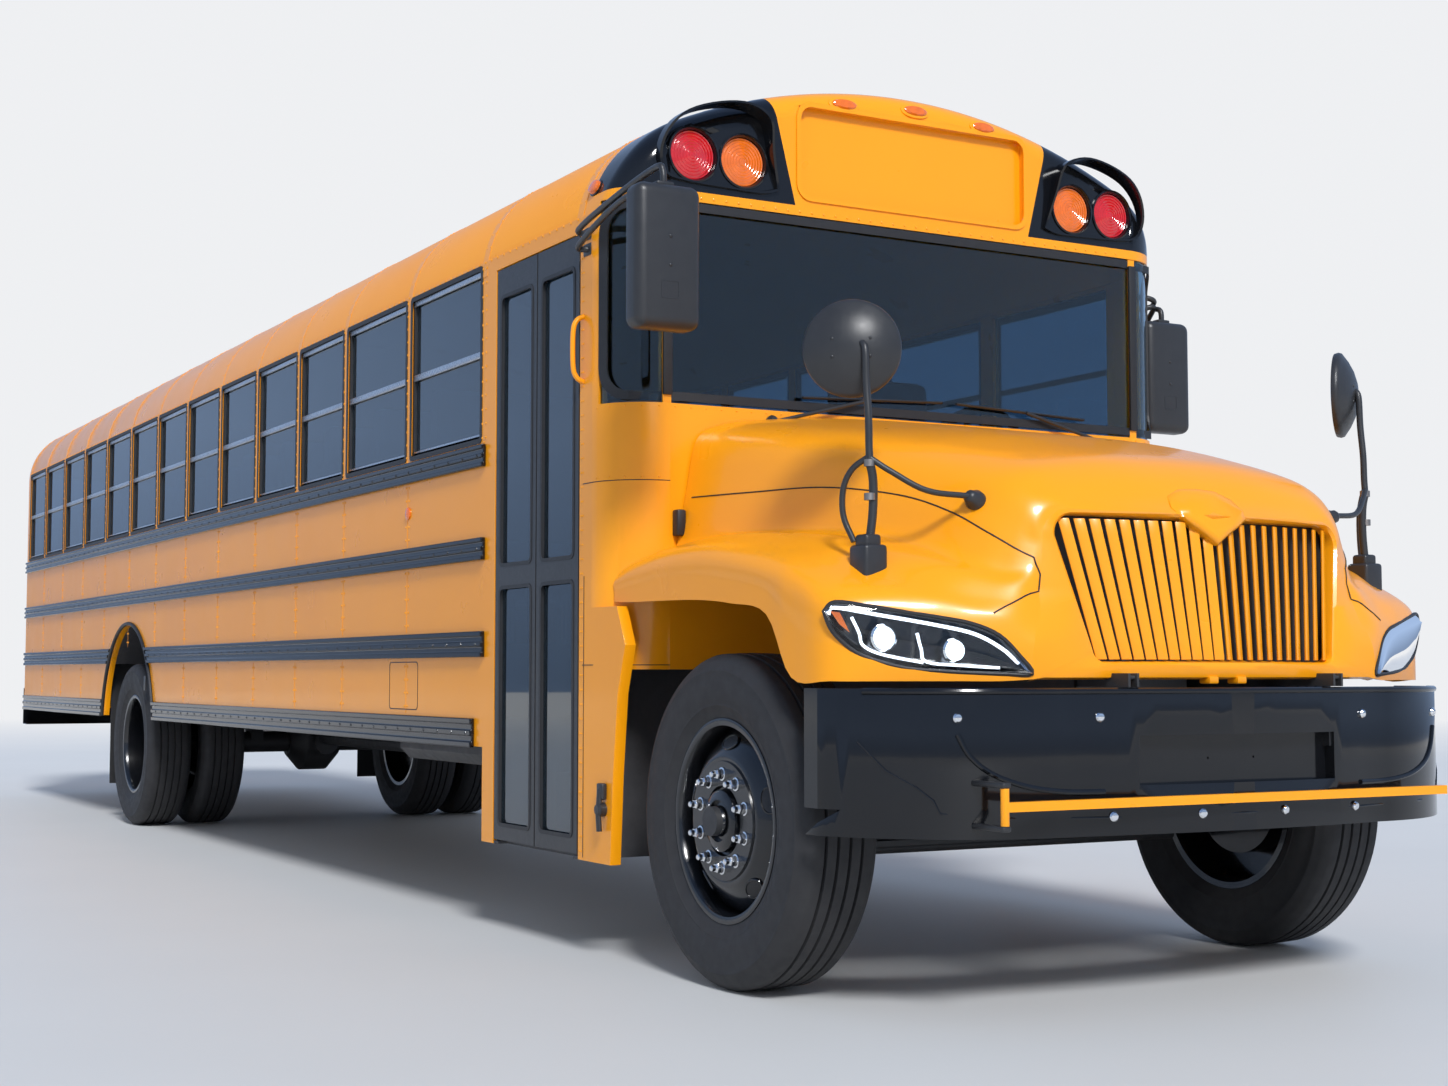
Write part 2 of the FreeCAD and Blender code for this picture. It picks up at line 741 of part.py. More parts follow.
def make_steps():
    """Treads and risers from the door up to the floor, with a cheek at each end."""
    first = "(-body_half + wall)"
    upper, lower = [], []
    for index in range(3):
        rise = f"(floor_top_z - {3 - index} * step_rise)"
        y_low = f"({first} + {index} * step_run)"
        y_high = f"({first} + {index + 1} * step_run)"
        under = f"{rise} - step_plate"
        upper += [(y_low, rise), (y_high, rise)]
        lower += [(f"{y_low} + step_plate" if index else y_low, under), (f"{y_high} + step_plate", under)]
    top_y = f"({first} + 3 * step_run)"
    corners = lower + [(f"{top_y} + step_plate", "floor_top_z"), (top_y, "floor_top_z")] + upper[::-1]
    treads = pad("step_treads", "YZ", corners, "door_rear_x", "door_front_x")
    foot = "floor_top_z - 3 * step_rise - step_plate"
    cheek_corners = [(first, foot), (f"{first} + step_run + step_plate", foot),
                     (f"{top_y} + step_plate", "floor_top_z - step_rise - step_plate"),
                     (f"{top_y} + step_plate", "floor_top_z - floor_thick"),
                     (first, "floor_top_z - floor_thick")]
    rear_cheek = pad("rear_cheek", "YZ", cheek_corners, "door_rear_x - step_plate", "door_rear_x")
    front_cheek = pad("front_cheek", "YZ", cheek_corners, "door_front_x", "door_front_x + step_plate")
    lugs = []
    for x in DOOR_PIVOTS:
        lugs.append(box("pivot_lug", (f"{x} - 20", f"{x} + 20"), ("-body_half + 2", "-body_half + wall + 5"),
                        ("lower_front_z", "door_bottom_z - 6")))
        lugs.append(rod("pivot_pin", "z", (x, "-body_half + door_pivot_depth"), "door_pin_radius",
                        "lower_front_z + 2", "door_bottom_z + 20"))
    node(fuse("entry_steps", [treads, rear_cheek, front_cheek] + lugs), "entry_steps")


RUB_RAILS = (
    # bottom, top, front end
    ("1762", "1848", "rail_front_x"),
    ("1402", "1488", "rail_front_x"),
    ("1029", "1128", "rail_front_x"),
    ("681", "793", "rail_front_x - 96"),
)


def make_rub_rails():
    """Three-ribbed rails; the two low ones stop at the rear arch."""
    rails = []
    for low, high, front in RUB_RAILS:
        rib = f"(({high} - {low}) / 5)"
        corners = [("0", low), ("rail_proud", low)]
        for step in range(1, 5):
            depth = ("rail_proud", "rail_proud - 8")
            near, far = depth if step % 2 else reversed(depth)
            corners += [(near, f"{low} + {step} * {rib}"), (far, f"{low} + {step} * {rib}")]
        corners += [("rail_proud", high), ("0", high)]
        rail = pad("rub_rail", "YZ", corners, "rail_rear_x", front)
        rails.append(rail)
    left = group("rails_left", rails)
    gap = rod("rail_gap", "y", ("rear_axle_x", "arch_centre_z"), "arch_radius + 25", "-wall", "2 * wall")
    left = cut("rails_left_cut", left, [gap])
    put(left, y="body_half")
    node(group("rub_rails", [left, mirrored("rails_right", left)]), "rub_rails")


# ---------------------------------------------------------------- chassis

def hood_hinge_ears():
    """Paired ears and a pin on each rail's nose, where the hood tilts."""
    corners = [("frame_front_x - 60", "bumper_high_z + 3"), ("hood_pivot_x + 14", "bumper_high_z + 3"),
               ("hood_pivot_x + 14", "hood_pivot_z + 12"), ("frame_front_x + 20", "hood_pivot_z + 12"),
               ("frame_front_x", "frame_top_z - frame_web + 1"),
               ("frame_front_x - 60", "frame_top_z - frame_web + 1")]
    inner = "(hood_hinge_width / 2)"
    pieces = []
    for side in ("-1", "1"):
        middle = f"({side} * hood_hinge_y)"
        for low, high in ((f"{middle} - {inner} - hood_ear_thick", f"{middle} - {inner}"),
                          (f"{middle} + {inner}", f"{middle} + {inner} + hood_ear_thick")):
            pieces.append(pad("hood_ear", "XZ", corners, low, high))
        pieces.append(rod("hood_pin", "y", ("hood_pivot_x", "hood_pivot_z"), "hood_pin_radius",
                          f"{middle} - {inner} - 2", f"{middle} + {inner} + 2"))
    return pieces


def make_frame():
    """Two channel rails tied by cross members, with tow hook holes up through the lower flanges."""
    web_in = "frame_half - frame_web"
    corners = [("frame_half", "frame_top_z - frame_depth"), ("frame_half", "frame_top_z"),
               ("frame_half - frame_flange", "frame_top_z"),
               ("frame_half - frame_flange", "frame_top_z - frame_web"),
               (web_in, "frame_top_z - frame_web"),
               (web_in, "frame_top_z - frame_depth + frame_web"),
               ("frame_half - frame_flange", "frame_top_z - frame_depth + frame_web"),
               ("frame_half - frame_flange", "frame_top_z - frame_depth")]
    left = pad("left_rail", "YZ", corners, "frame_rear_x", "frame_front_x")
    pieces = [left, mirrored("right_rail", left)]
    for middle in CROSS_MEMBERS:
        pieces.append(box("cross_member", (f"{middle} - crossmember / 2", f"{middle} + crossmember / 2"),
                          (f"-({web_in})", web_in),
                          ("frame_top_z - frame_depth + 60", "frame_top_z - 60")))
    pieces += hood_hinge_ears()
    joined = fuse("frame_joined", pieces)
    tow_holes = [rod("tow_hole", "z", (x, f"{side} * (frame_half - frame_flange / 2)"), "tow_hole_radius",
                     "bumper_low_z", "frame_top_z - frame_depth + 2 * frame_web")
                 for x in ("frame_front_x - 160", "frame_rear_x + 160") for side in ("-1", "1")]
    node(cut("frame_rails", joined, tow_holes), "frame_rails")


def spring_arc(reach, drop, thick):
    """A bowed leaf pack seen from the side, hung from its two ends."""
    bow = f"(({reach}^2 + {drop}^2) / (2 * {drop}))"
    return [(f"-{reach}", "0", bow), (reach, "0"), (reach, thick, f"-({bow} - {thick})"),
            (f"-{reach}", thick)]


def leaf_spring(name, x, y, seat_z, reach):
    """One leaf pack, bowed down from its eyes under the frame to its seat, with two hangers."""
    eye_z = "(frame_top_z - frame_depth - spring_thick - 1)"
    drop = f"({eye_z} - {seat_z})"
    side_y = (f"{y} - spring_width / 2", f"{y} + spring_width / 2")
    pack_body = put(pad(name, "XZ", spring_arc(reach, drop, "spring_thick"), *side_y), x, side_y[0], eye_z)
    hangers = []
    for side in ("-1", "1"):
        hanger_x = f"({x} + {side} * ({reach} - 30))"
        hangers.append(box("spring_hanger", (f"{hanger_x} - 30", f"{hanger_x} + 30"), side_y,
                           (eye_z, "frame_top_z - frame_depth")))
    return fuse(name + "_hung", [pack_body] + hangers)


def make_front_axle():
    """Dropped I-beam carried by two leaf springs, with an eye for each kingpin."""
    beam_top = "(tyre_radius + beam_height / 2)"
    beam_low = f"({beam_top} - beam_drop - beam_height)"
    beam = box("axle_beam", ("front_axle_x - beam_half", "front_axle_x + beam_half"),
               ("-kingpin_y + 90", "kingpin_y - 90"), (beam_low, f"{beam_top} - beam_drop"))
    waists = [box("beam_waist", x, ("-kingpin_y + 110", "kingpin_y - 110"),
                  (f"{beam_low} + 18", f"{beam_top} - beam_drop - 18"))
              for x in (("front_axle_x - beam_half - 1", "front_axle_x - 15"),
                        ("front_axle_x + 15", "front_axle_x + beam_half + 1"))]
    pieces = [cut("beam_cut", beam, waists)]
    for side in ("-1", "1"):
        eye_y = f"{side} * kingpin_y"
        neck_y = f"{side} * (kingpin_y - 75)"
        pieces.append(rod("kingpin_eye", "z", ("front_axle_x", eye_y), "48",
                          "tyre_radius - 65", "tyre_radius + 65", 16))
        pieces.append(box("eye_neck", ("front_axle_x - 40", "front_axle_x + 40"),
                          (f"{neck_y} - 40", f"{neck_y} + 40"), ("tyre_radius - 60", "tyre_radius + 50")))
        seat_y = f"({side} * (frame_half - spring_width / 2))"
        pieces.append(box("spring_seat", ("front_axle_x - 60", "front_axle_x + 60"),
                          (f"{seat_y} - spring_width / 2", f"{seat_y} + spring_width / 2"),
                          (f"{beam_top} - beam_drop - 1", f"{beam_top} + 5")))
        pieces.append(leaf_spring("front_spring", "front_axle_x", seat_y,
                                  f"({beam_top} + 4)", "front_spring_reach"))
    joined = fuse("front_axle_joined", pieces)
    pin_holes = [rod("kingpin_hole", "z", ("front_axle_x", f"{side} * kingpin_y"),
                     "kingpin_radius + running_gap", "0", "crown_z") for side in ("-1", "1")]
    node(cut("front_axle", joined, pin_holes), "front_axle")


def make_rear_axle():
    """Banjo housing, propeller shaft and springs."""
    hub_y = "(rear_outer_wheel_y - twin_spacing / 2)"
    tube = rod("axle_tube", "y", ("rear_axle_x", "tyre_radius"), "axle_tube_radius",
               f"-{hub_y} + 230", f"{hub_y} - 230", 16)
    spindle = rod("axle_spindle", "y", ("rear_axle_x", "tyre_radius"), "spindle_radius",
                  f"-{hub_y} - 60", f"{hub_y} + 60")
    bowl = tapered("axle_bowl", [("bowl_radius / 2", "-bowl_half"), ("bowl_radius", "-bowl_half / 2"),
                                 ("bowl_radius", "bowl_half / 2"), ("bowl_radius / 2", "bowl_half")])
    put(bowl, "rear_axle_x", "0", "tyre_radius")
    nose = rod("axle_nose", "x", ("0", "tyre_radius"), "80", "rear_axle_x", "rear_axle_x + 330", 12)
    shaft = rod("propeller_shaft", "x", ("0", "tyre_radius + 40"), "shaft_radius", "rear_axle_x + 320",
                "shaft_front_x", 12)
    pieces = [tube, spindle, bowl, nose, shaft]
    seat_top = "(tyre_radius + axle_tube_radius + 10)"
    for side in ("-1", "1"):
        seat_y = f"({side} * (frame_half - spring_width / 2))"
        pieces.append(box("rear_spring_seat", ("rear_axle_x - 70", "rear_axle_x + 70"),
                          (f"{seat_y} - spring_width / 2", f"{seat_y} + spring_width / 2"),
                          ("tyre_radius", f"{seat_top} + 1")))
        pieces.append(leaf_spring("rear_spring", "rear_axle_x", seat_y, seat_top, "rear_spring_reach"))
    node(fuse("rear_axle", pieces), "rear_axle")


def make_engine():
    block = box("engine", ("engine_rear_x", "engine_front_x"), ("-engine_half", "engine_half"),
                ("engine_low_z", "engine_high_z"))
    shroud = box("fan_shroud", ("engine_front_x", "engine_front_x + 100"), ("-shroud_half", "shroud_half"),
                 ("frame_top_z", "radiator_high_z - 50"))
    radiator = box("radiator", ("engine_front_x + 100", "engine_front_x + 260"),
                   ("-radiator_half", "radiator_half"), ("frame_top_z", "radiator_high_z"))
    node(fuse("engine_block", [block, shroud, radiator]), "engine_block")


def make_tank():
    """The fuel tank under the right side, strapped to the frame rail."""
    tank = box("tank", ("tank_rear_x", "tank_rear_x + tank_length"),
               ("-body_half + 100", "-frame_half - tank_gap"), ("tank_low_z", "tank_high_z"))
    straps = [box("tank_strap", (x, f"{x} + 50"), ("-frame_half - tank_gap - 1", "-frame_half"),
                  ("tank_high_z - 180", "tank_high_z - 20"))
              for x in ("tank_rear_x + tank_length / 5", "tank_rear_x + tank_length * 3 / 4")]
    doc.recompute()
    chamfered = doc.addObject("Part::Chamfer", "tank_chamfered")
    chamfered.Base = tank
    long_edges = [index for index, edge in enumerate(tank.Shape.Edges, start=1)
                  if edge.BoundBox.XLength > size("tank_length") / 2]
    chamfered.Edges = [(index, size("tank_chamfer"), size("tank_chamfer")) for index in long_edges]
    node(fuse("fuel_tank", [chamfered] + straps), "fuel_tank")


CROSS_MEMBERS = ("frame_rear_x + 60", "-4600", "-1500", "400", "2300", "3600", "frame_front_x - 60")


def make_exhaust():
    """Silencer and pipe on hangers from the cross members, turned down at the rear."""
    y, z = size("exhaust_y"), size("exhaust_z")
    rear_axle_x = size("rear_axle_x")
    pipe = shaped("exhaust_pipe", limb([
        Vector(size("exhaust_front_x"), y, z), Vector(rear_axle_x - 1400, y, z),
        Vector(rear_axle_x - 1700, y, z - 90), Vector(size("rear_x") - 60, y, z - 140)],
        size("exhaust_radius")))
    silencer = rod("silencer", "x", ("exhaust_y", "exhaust_z"), "silencer_radius", "silencer_rear_x",
                   "silencer_rear_x + silencer_length", 16)
    hangers = [rod("exhaust_hanger", "z", (x, "exhaust_y"), "7", "exhaust_z + exhaust_radius / 2",
                   "frame_top_z - frame_depth + 60", 6) for x in CROSS_MEMBERS[2:-1]]
    node(fuse("exhaust", [pipe, silencer] + hangers), "exhaust")


def make_mud_flaps():
    outer, inner = "(body_half - 50)", "flap_inner_y"
    flaps = [box("mud_flap", ("rear_axle_x - 700", "rear_axle_x - 692"), span,
                 ("flap_low_z", "floor_top_z - floor_thick"))
             for span in ((f"-{outer}", f"-{inner}"), (inner, outer))]
    node(group("mud_flaps", flaps), "mud_flaps")


# ---------------------------------------------------------------- wheels

RIM_SIDES = 32

def tyre(name):
    bulk = rod(name + "_bulk", "y", ("0", "0"), "tyre_radius", "-tyre_width / 2", "tyre_width / 2")
    bore = rod(name + "_bore", "y", ("0", "0"), "rim_radius", "-tyre_width", "tyre_width", RIM_SIDES)
    return cut(name, bulk, [bore])


def rim(name, disc):
    """A rim whose dished disc reaches the given distance towards +Y."""
    half = "(tyre_width / 2 - 30)"
    barrel = cut(name + "_barrel",
                 rod(name + "_outside", "y", ("0", "0"), "rim_radius", f"-{half}", half, RIM_SIDES),
                 [rod(name + "_inside", "y", ("0", "0"), "rim_radius - rim_wall", f"-{half} - 1",
                      f"{half} + 1", RIM_SIDES)])
    edge = "rim_radius - rim_wall / 2"
    shoulder = "(stud_circle_radius + 50)"
    dish = cut(name + "_dish",
               tapered(name + "_dish_face", [(edge, f"{disc} - dish_depth"), (shoulder, disc)]),
               [tapered(name + "_dish_back", [("rim_radius", f"{disc} - dish_depth - rim_wall - 1"),
                                              (shoulder, f"{disc} - rim_wall")]),
                rod(name + "_hub_clear", "y", ("0", "0"), "hub_radius - 5", "-wall", "tyre_width")])
    holes = []
    for index in range(10):
        angle = index * 36
        holes.append(rod("stud_hole", "y", (f"stud_circle_radius * cos({angle}deg)",
                                            f"stud_circle_radius * sin({angle}deg)"),
                         "stud_hole_radius", f"{disc} - wall", f"{disc} + wall", 6))
    for index in range(5):
        angle = index * 72 + 18
        holes.append(rod("hand_hole", "y", (f"hand_hole_circle * cos({angle}deg)",
                                            f"hand_hole_circle * sin({angle}deg)"),
                         "hand_hole_radius", f"{disc} - 2 * wall", f"{disc} + wall", 8))
    return cut(name, fuse(name + "_joined", [barrel, dish]), holes)


def hub(name, low, disc, high):
    """A hub bored for the spindle, with a drum inboard of the disc."""
    middle = ("0", "0")
    drum = rod(name + "_drum", "y", middle, "drum_radius", low, f"{disc} - rim_wall", 24)
    barrel = rod(name + "_barrel", "y", middle, "hub_radius", low, high, 16)
    bore = rod(name + "_bore", "y", middle, "spindle_radius + running_gap", f"{low} - 1",
               f"{high} - rim_wall")
    return cut(name, fuse(name + "_solid", [drum, barrel]), [bore])


def make_front_wheels():
    disc = "front_disc_y"
    wheel = fuse("front_wheel_metal", [
        rim("front_rim", disc), hub("front_hub", "-60", disc, f"{disc} + 70")])
    for side, turn in (("right", 180), ("left", 0)):
        sign = "-1" if side == "right" else "1"
        spot = ("front_axle_x", f"{sign} * front_wheel_y", "tyre_radius")
        for kind, source in (("rim", wheel), ("tyre", tyre(f"front_{side}_tyre"))):
            piece = group(f"{kind}_front_{side}", [source])
            piece.Placement = Placement(Vector(), Rotation(Vector(0, 0, 1), turn))
            node(put(piece, *spot), f"{kind}_front_{side}")


def make_rear_wheels():
    """The outer disc dishes in and the inner one out, so that they meet on the hub."""
    half_gap = "(twin_spacing / 2)"
    outer_rim = rim("outer_rim", half_gap)
    outer_rim.Placement = Placement(Vector(), Rotation(Vector(0, 0, 1), 180))
    put(outer_rim, y=half_gap)
    inner_rim = put(rim("inner_rim", half_gap), y=f"-{half_gap}")
    rear_hub = hub("rear_hub", "-180", "0", "95")
    metal = fuse("rear_wheel_metal", [outer_rim, inner_rim, rear_hub])
    rubber = group("rear_twin_rubber", [put(tyre("outer_tyre"), y=half_gap),
                                        put(tyre("inner_tyre"), y=f"-{half_gap}")])
    for side, turn in (("right", 180), ("left", 0)):
        sign = "-1" if side == "right" else "1"
        spot = ("rear_axle_x", f"{sign} * (rear_outer_wheel_y - {half_gap})", "tyre_radius")
        for kind, source in (("rims", metal), ("tyres", rubber)):
            piece = group(f"{kind}_rear_{side}", [source])
            piece.Placement = Placement(Vector(), Rotation(Vector(0, 0, 1), turn))
            node(put(piece, *spot), f"{kind}_rear_{side}")


def make_knuckles():
    """Fork, kingpin, spindle, backing plate and steering arm."""
    width = ("front_axle_x - 50", "front_axle_x + 50")
    fork = [box("fork_ear", width, ("kingpin_y - 50", "kingpin_y + 62"),
                (f"tyre_radius + {low}", f"tyre_radius + {high}")) for low, high in ((-105, -71), (71, 105))]
    back = box("fork_back", width, ("kingpin_y + 54", "kingpin_y + 84"),
               ("tyre_radius - 105", "tyre_radius + 105"))
    pin = rod("kingpin", "z", ("front_axle_x", "kingpin_y"), "kingpin_radius", "tyre_radius - 104",
              "tyre_radius + 104")
    spindle = rod("front_spindle", "y", ("front_axle_x", "tyre_radius"), "spindle_radius",
                  "kingpin_y + 80", "front_wheel_y + front_disc_y + 50")
    arm = box("steering_arm", ("front_axle_x - steering_arm_reach - 20", "front_axle_x - 40"),
              ("kingpin_y - 20", "kingpin_y + 20"), ("tyre_radius - 105", "tyre_radius - 75"))
    left = fuse("knuckle_left", fork + [back, pin, spindle, arm])
    node(left, "knuckle_left")
    node(mirrored("knuckle_right", left), "knuckle_right")


def make_tie_rod():
    """Cross tube under the steering arms, with a ball stud up into each."""
    x = "front_axle_x - steering_arm_reach"
    bar = rod("tie_tube", "y", (x, "tyre_radius - 135"), "18", "-kingpin_y", "kingpin_y", 12)
    studs = [rod("ball_stud", "z", (x, y), "14", "tyre_radius - 135", "tyre_radius - 105 - running_gap")
             for y in ("-kingpin_y", "kingpin_y")]
    node(fuse("tie_rod", [bar] + studs), "tie_rod")


# ---------------------------------------------------------------- front end

FRONT_END = (
    # x ahead of the axle, centre z, shoulder y, z, edge y, z, root y, z, crown y, z, rim y, z, bottom z
    (-740, 1880, 834, 1827, 926, 1768, 1015, 1375, 1120, 1300, 1190, 1262, 1212),
    (-560, 1870, 834, 1817, 924, 1760, 1000, 1385, 1110, 1345, 1190, 1300, 1203),
    (-80, 1795, 790, 1742, 865, 1690, 945, 1405, 1085, 1385, 1190, 1325, 1195),
    (340, 1722, 705, 1662, 785, 1612, 875, 1385, 1060, 1345, 1190, 1270, 1143),
    (480, 1690, 672, 1628, 748, 1580, 842, 1365, 1050, 1310, 1190, 1235, 950),
    (652, 1645, 622, 1582, 694, 1535, 790, 1330, 1000, 1245, 1186, 1164, 945),
    (790, 1598, 560, 1532, 628, 1486, 735, 1270, 850, 1195, 940, 1130, 945),
    (870, 1500, 545, 1450, 600, 1415, 650, 1300, 700, 1200, 785, 1090, 948),
    (925, 1425, 520, 1400, 570, 1370, 610, 1290, 640, 1180, 680, 1010, 955),
)


def grille_corners():
    """The grille opening seen from ahead."""
    return [("-grille_half_bottom", "grille_bottom_z"), ("grille_half_bottom", "grille_bottom_z"),
            ("grille_half_top", "grille_top_z - 60"), ("grille_half_top - 40", "grille_top_z - 10"),
            ("-(grille_half_top - 40)", "grille_top_z - 10"), ("-grille_half_top", "grille_top_z - 60")]


GRILLE_GAPS = 10
GRILLE_LEAN = 8


def front_end_ring(station, inset, back):
    """The corners of one cross-section of the hood and both fenders."""
    x, top, sh_y, sh_z, ed_y, ed_z, ro_y, ro_z, cr_y, cr_z, ri_y, ri_z, low = station
    foot = low - 3 * inset
    half = [(ri_y - inset, foot), (ri_y - inset, ri_z - inset / 2), (cr_y - inset / 2, cr_z - inset),
            (ro_y - inset / 2, ro_z - inset), (ed_y - inset, ed_z - inset / 2),
            (sh_y - inset / 2, sh_z - inset), (0, top - inset)]
    place = size("front_axle_x") + x - back
    return [Vector(place, y, z) for y, z in half + [(-y, z) for y, z in reversed(half[:-1])]]


def front_end_solid(inset):
    """The front end's bulk, or the space inside it, which runs out behind and below."""
    shifts = [2 * inset] + [0] * (len(FRONT_END) - 2) + [inset]
    return faceted([front_end_ring(station, inset, back) for station, back in zip(FRONT_END, shifts)])


def headlight_lens(name):
    """The left lens seen from above, carried up from its lower edge."""
    corners = [("front_axle_x + 640", "1160"), ("front_axle_x + 735", "970"), ("front_axle_x + 905", "655"),
               ("front_axle_x + 932", "668"), ("front_axle_x + 851", "818"), ("front_axle_x + 761", "985"),
               ("front_axle_x + 672", "1150"), ("front_axle_x + 655", "1178")]
    return pad(name, "XY", corners, "975", "1110")


def make_hood():
    """One shell for hood and fenders, open below and behind, with a front wall around the grille."""
    outer = shaped("front_end_form", front_end_solid(0))
    FORMS["front_end"] = outer
    inner = shaped("front_end_hollow", front_end_solid(size("hood_wall")))
    cowl_clear = pad("cowl_clear", "XY", plan("rear_x", "-cowl_gap"), "cowl_bottom_z", "crown_z")
    grille_hole = pad("grille_hole", "YZ", grille_corners(), "front_axle_x + 780", "front_axle_x + 1100")
    hinge_clear = box("hinge_clear", ("front_axle_x + 780", "front_axle_x + 1100"),
                      ("-grille_half_bottom", "grille_half_bottom"), ("bumper_high_z", "grille_bottom_z + 1"))
    lens_holes = [headlight_lens("lens_hole"), mirrored("lens_hole_right", headlight_lens("lens_hole_left"))]
    node(cut("hood_shell", outer, [inner, cowl_clear, grille_hole, hinge_clear] + lens_holes), "hood_shell")


def make_grille():
    """Fanned slats in a bowed, leaning frame with a shield boss and a centre bar."""
    bow = "((grille_half_top^2 + grille_bow^2) / (2 * grille_bow))"
    curve = pad("grille_curve", "XY", [
        ("-grille_bow - grille_depth", "-grille_half_top"), ("-grille_bow", "-grille_half_top", bow),
        ("-grille_bow", "grille_half_top"), ("-grille_bow - grille_depth", "grille_half_top", f"-{bow}")],
        "-100", "600")
    curve.Placement = Placement(Vector(), Rotation(Vector(0, 1, 0), -GRILLE_LEAN))
    put(curve, "front_axle_x + grille_front", "0", "grille_bottom_z")
    outer = pad("grille_bulk", "YZ", grille_corners(), "front_axle_x + 700", "front_axle_x + 1100")
    gaps = []
    for side in (-1, 1):
        for index in range(GRILLE_GAPS):
            low_y = f"({side} * ({index} + 0.6) * slat_pitch_bottom)"
            high_y = f"({side} * ({index} + 0.6) * slat_pitch_top)"
            top = "grille_top_z - 70" if index > 1 else f"grille_top_z - {130 - 35 * index}"
            gaps.append(pad("slat_gap", "YZ", [
                (f"{low_y} - slat_gap_half", "grille_bottom_z + 26"),
                (f"{low_y} + slat_gap_half", "grille_bottom_z + 26"),
                (f"{high_y} + slat_gap_half", top), (f"{high_y} - slat_gap_half", top)],
                "front_axle_x + 700", "front_axle_x + 1100"))
    slats = cut("grille_slats", common("grille_frame", [curve, outer]), gaps)
    arm_top = "grille_bottom_z + 12"
    arm_corners = [("hood_pivot_x - 130", arm_top), ("hood_pivot_x - 130", "hood_pivot_z + 20"),
                   ("hood_pivot_x - 22", "hood_pivot_z - 12"), ("hood_pivot_x", "hood_pivot_z - 12"),
                   ("hood_pivot_x", "hood_pivot_z + 12"), ("hood_pivot_x - 80", arm_top)]
    inner = "(hood_hinge_width / 2 - running_gap)"
    arms = []
    for side in ("-1", "1"):
        span = (f"{side} * hood_hinge_y - {inner}", f"{side} * hood_hinge_y + {inner}")
        arms.append(pad("hinge_arm", "XZ", arm_corners, *span))
        arms.append(rod("hinge_eye", "y", ("hood_pivot_x", "hood_pivot_z"), "12", *span))
    bore = rod("hinge_bore", "y", ("hood_pivot_x", "hood_pivot_z"), "hood_pin_radius + running_gap",
               "-body_half", "body_half")
    node(cut("grille", fuse("grille_armed", [slats] + arms), [bore]), "grille")


def make_headlights():
    """Lens blocks that wrap the front corners."""
    lens = headlight_lens("headlight_bulk")
    node(group("headlights", [lens, mirrored("headlight_right", lens)]), "headlights")


def bumper_plan(inset):
    """The bumper seen from above, swept back at its ends."""
    face = f"(bumper_x - {inset})"
    half = f"(bumper_half - {inset})"
    return [(f"{face} - 500", f"-{half}"), (f"{face} - 430", f"-{half}", "620"),
            (f"{face} - 40", "-600", "4600"), (f"{face} - 40", "600", "620"),
            (f"{face} - 430", half), (f"{face} - 500", half)]


def make_front_bumper():
    outer = pad("bumper_outer", "XY", bumper_plan("0"), "bumper_low_z", "bumper_high_z")
    inner = pad("bumper_inner", "XY", bumper_plan("bumper_skin"), "bumper_low_z - 10", "bumper_high_z + 10")
    put(inner, "-1", "0", "bumper_low_z - 10")
    skin = cut("bumper_skin_form", outer, [inner])
    end_trim = [pad("bumper_end_trim", "XZ", [
        ("bumper_x - 900", "bumper_low_z - 20"), ("bumper_x - 495", "bumper_low_z - 20"),
        ("bumper_x - 495", "bumper_low_z"), ("bumper_x - 360", "bumper_low_z + 75"),
        ("bumper_x - 420", "bumper_low_z + 75"), ("bumper_x - 900", "bumper_low_z + 75")],
        low, high) for low, high in (("-bumper_half - 10", "-900"), ("900", "bumper_half + 10"))]
    recess = box("plate_recess", ("bumper_x - 55", "bumper_x + 60"), ("-380", "380"), ("653", "792"))
    pan = cut("recess_pan",
              box("pan_block", ("bumper_x - 67", "bumper_x - 5"), ("-392", "392"), ("641", "804")),
              [box("pan_hollow", ("bumper_x - 55", "bumper_x"), ("-380", "380"), ("653", "792"))])
    brackets = [box("bumper_bracket", ("frame_front_x", "bumper_x - 26"), span,
                    ("frame_top_z - frame_depth + 20", "frame_top_z - 70"))
                for span in (("-frame_half", "-frame_half + 60"), ("frame_half - 60", "frame_half"))]
    pierced = cut("bumper_pierced", skin, end_trim + [recess])
    pan_trimmed = common("pan_trimmed", [pan, pad("bumper_limit", "XY", bumper_plan("0"), "0", "crown_z")])
    joined = fuse("bumper_joined", [pierced, pan_trimmed] + brackets)
    bolts = [rod("plate_hole", "x", (y, "722"), "3.5", "bumper_x - 200", "bumper_x + wall")
             for y in ("-89", "89")]
    node(cut("front_bumper", joined, bolts), "front_bumper")


def make_rear_bumper():
    channel = pad("rear_channel", "XZ", [
        ("-end_x", "560"), ("-end_x", "850"), ("rear_x", "850"), ("rear_x", "842"),
        ("-end_x + 8", "842"), ("-end_x + 8", "568"), ("rear_x", "568"), ("rear_x", "560")],
        "-1200", "1200")
    brackets = [box("rear_bracket", ("-end_x + 7", "rear_x"), span, ("740", "843"))
                for span in (("-frame_half", "-frame_half + 60"), ("frame_half - 60", "frame_half"))]
    node(fuse("rear_bumper", [channel] + brackets), "rear_bumper")


# ---------------------------------------------------------------- doors and arms

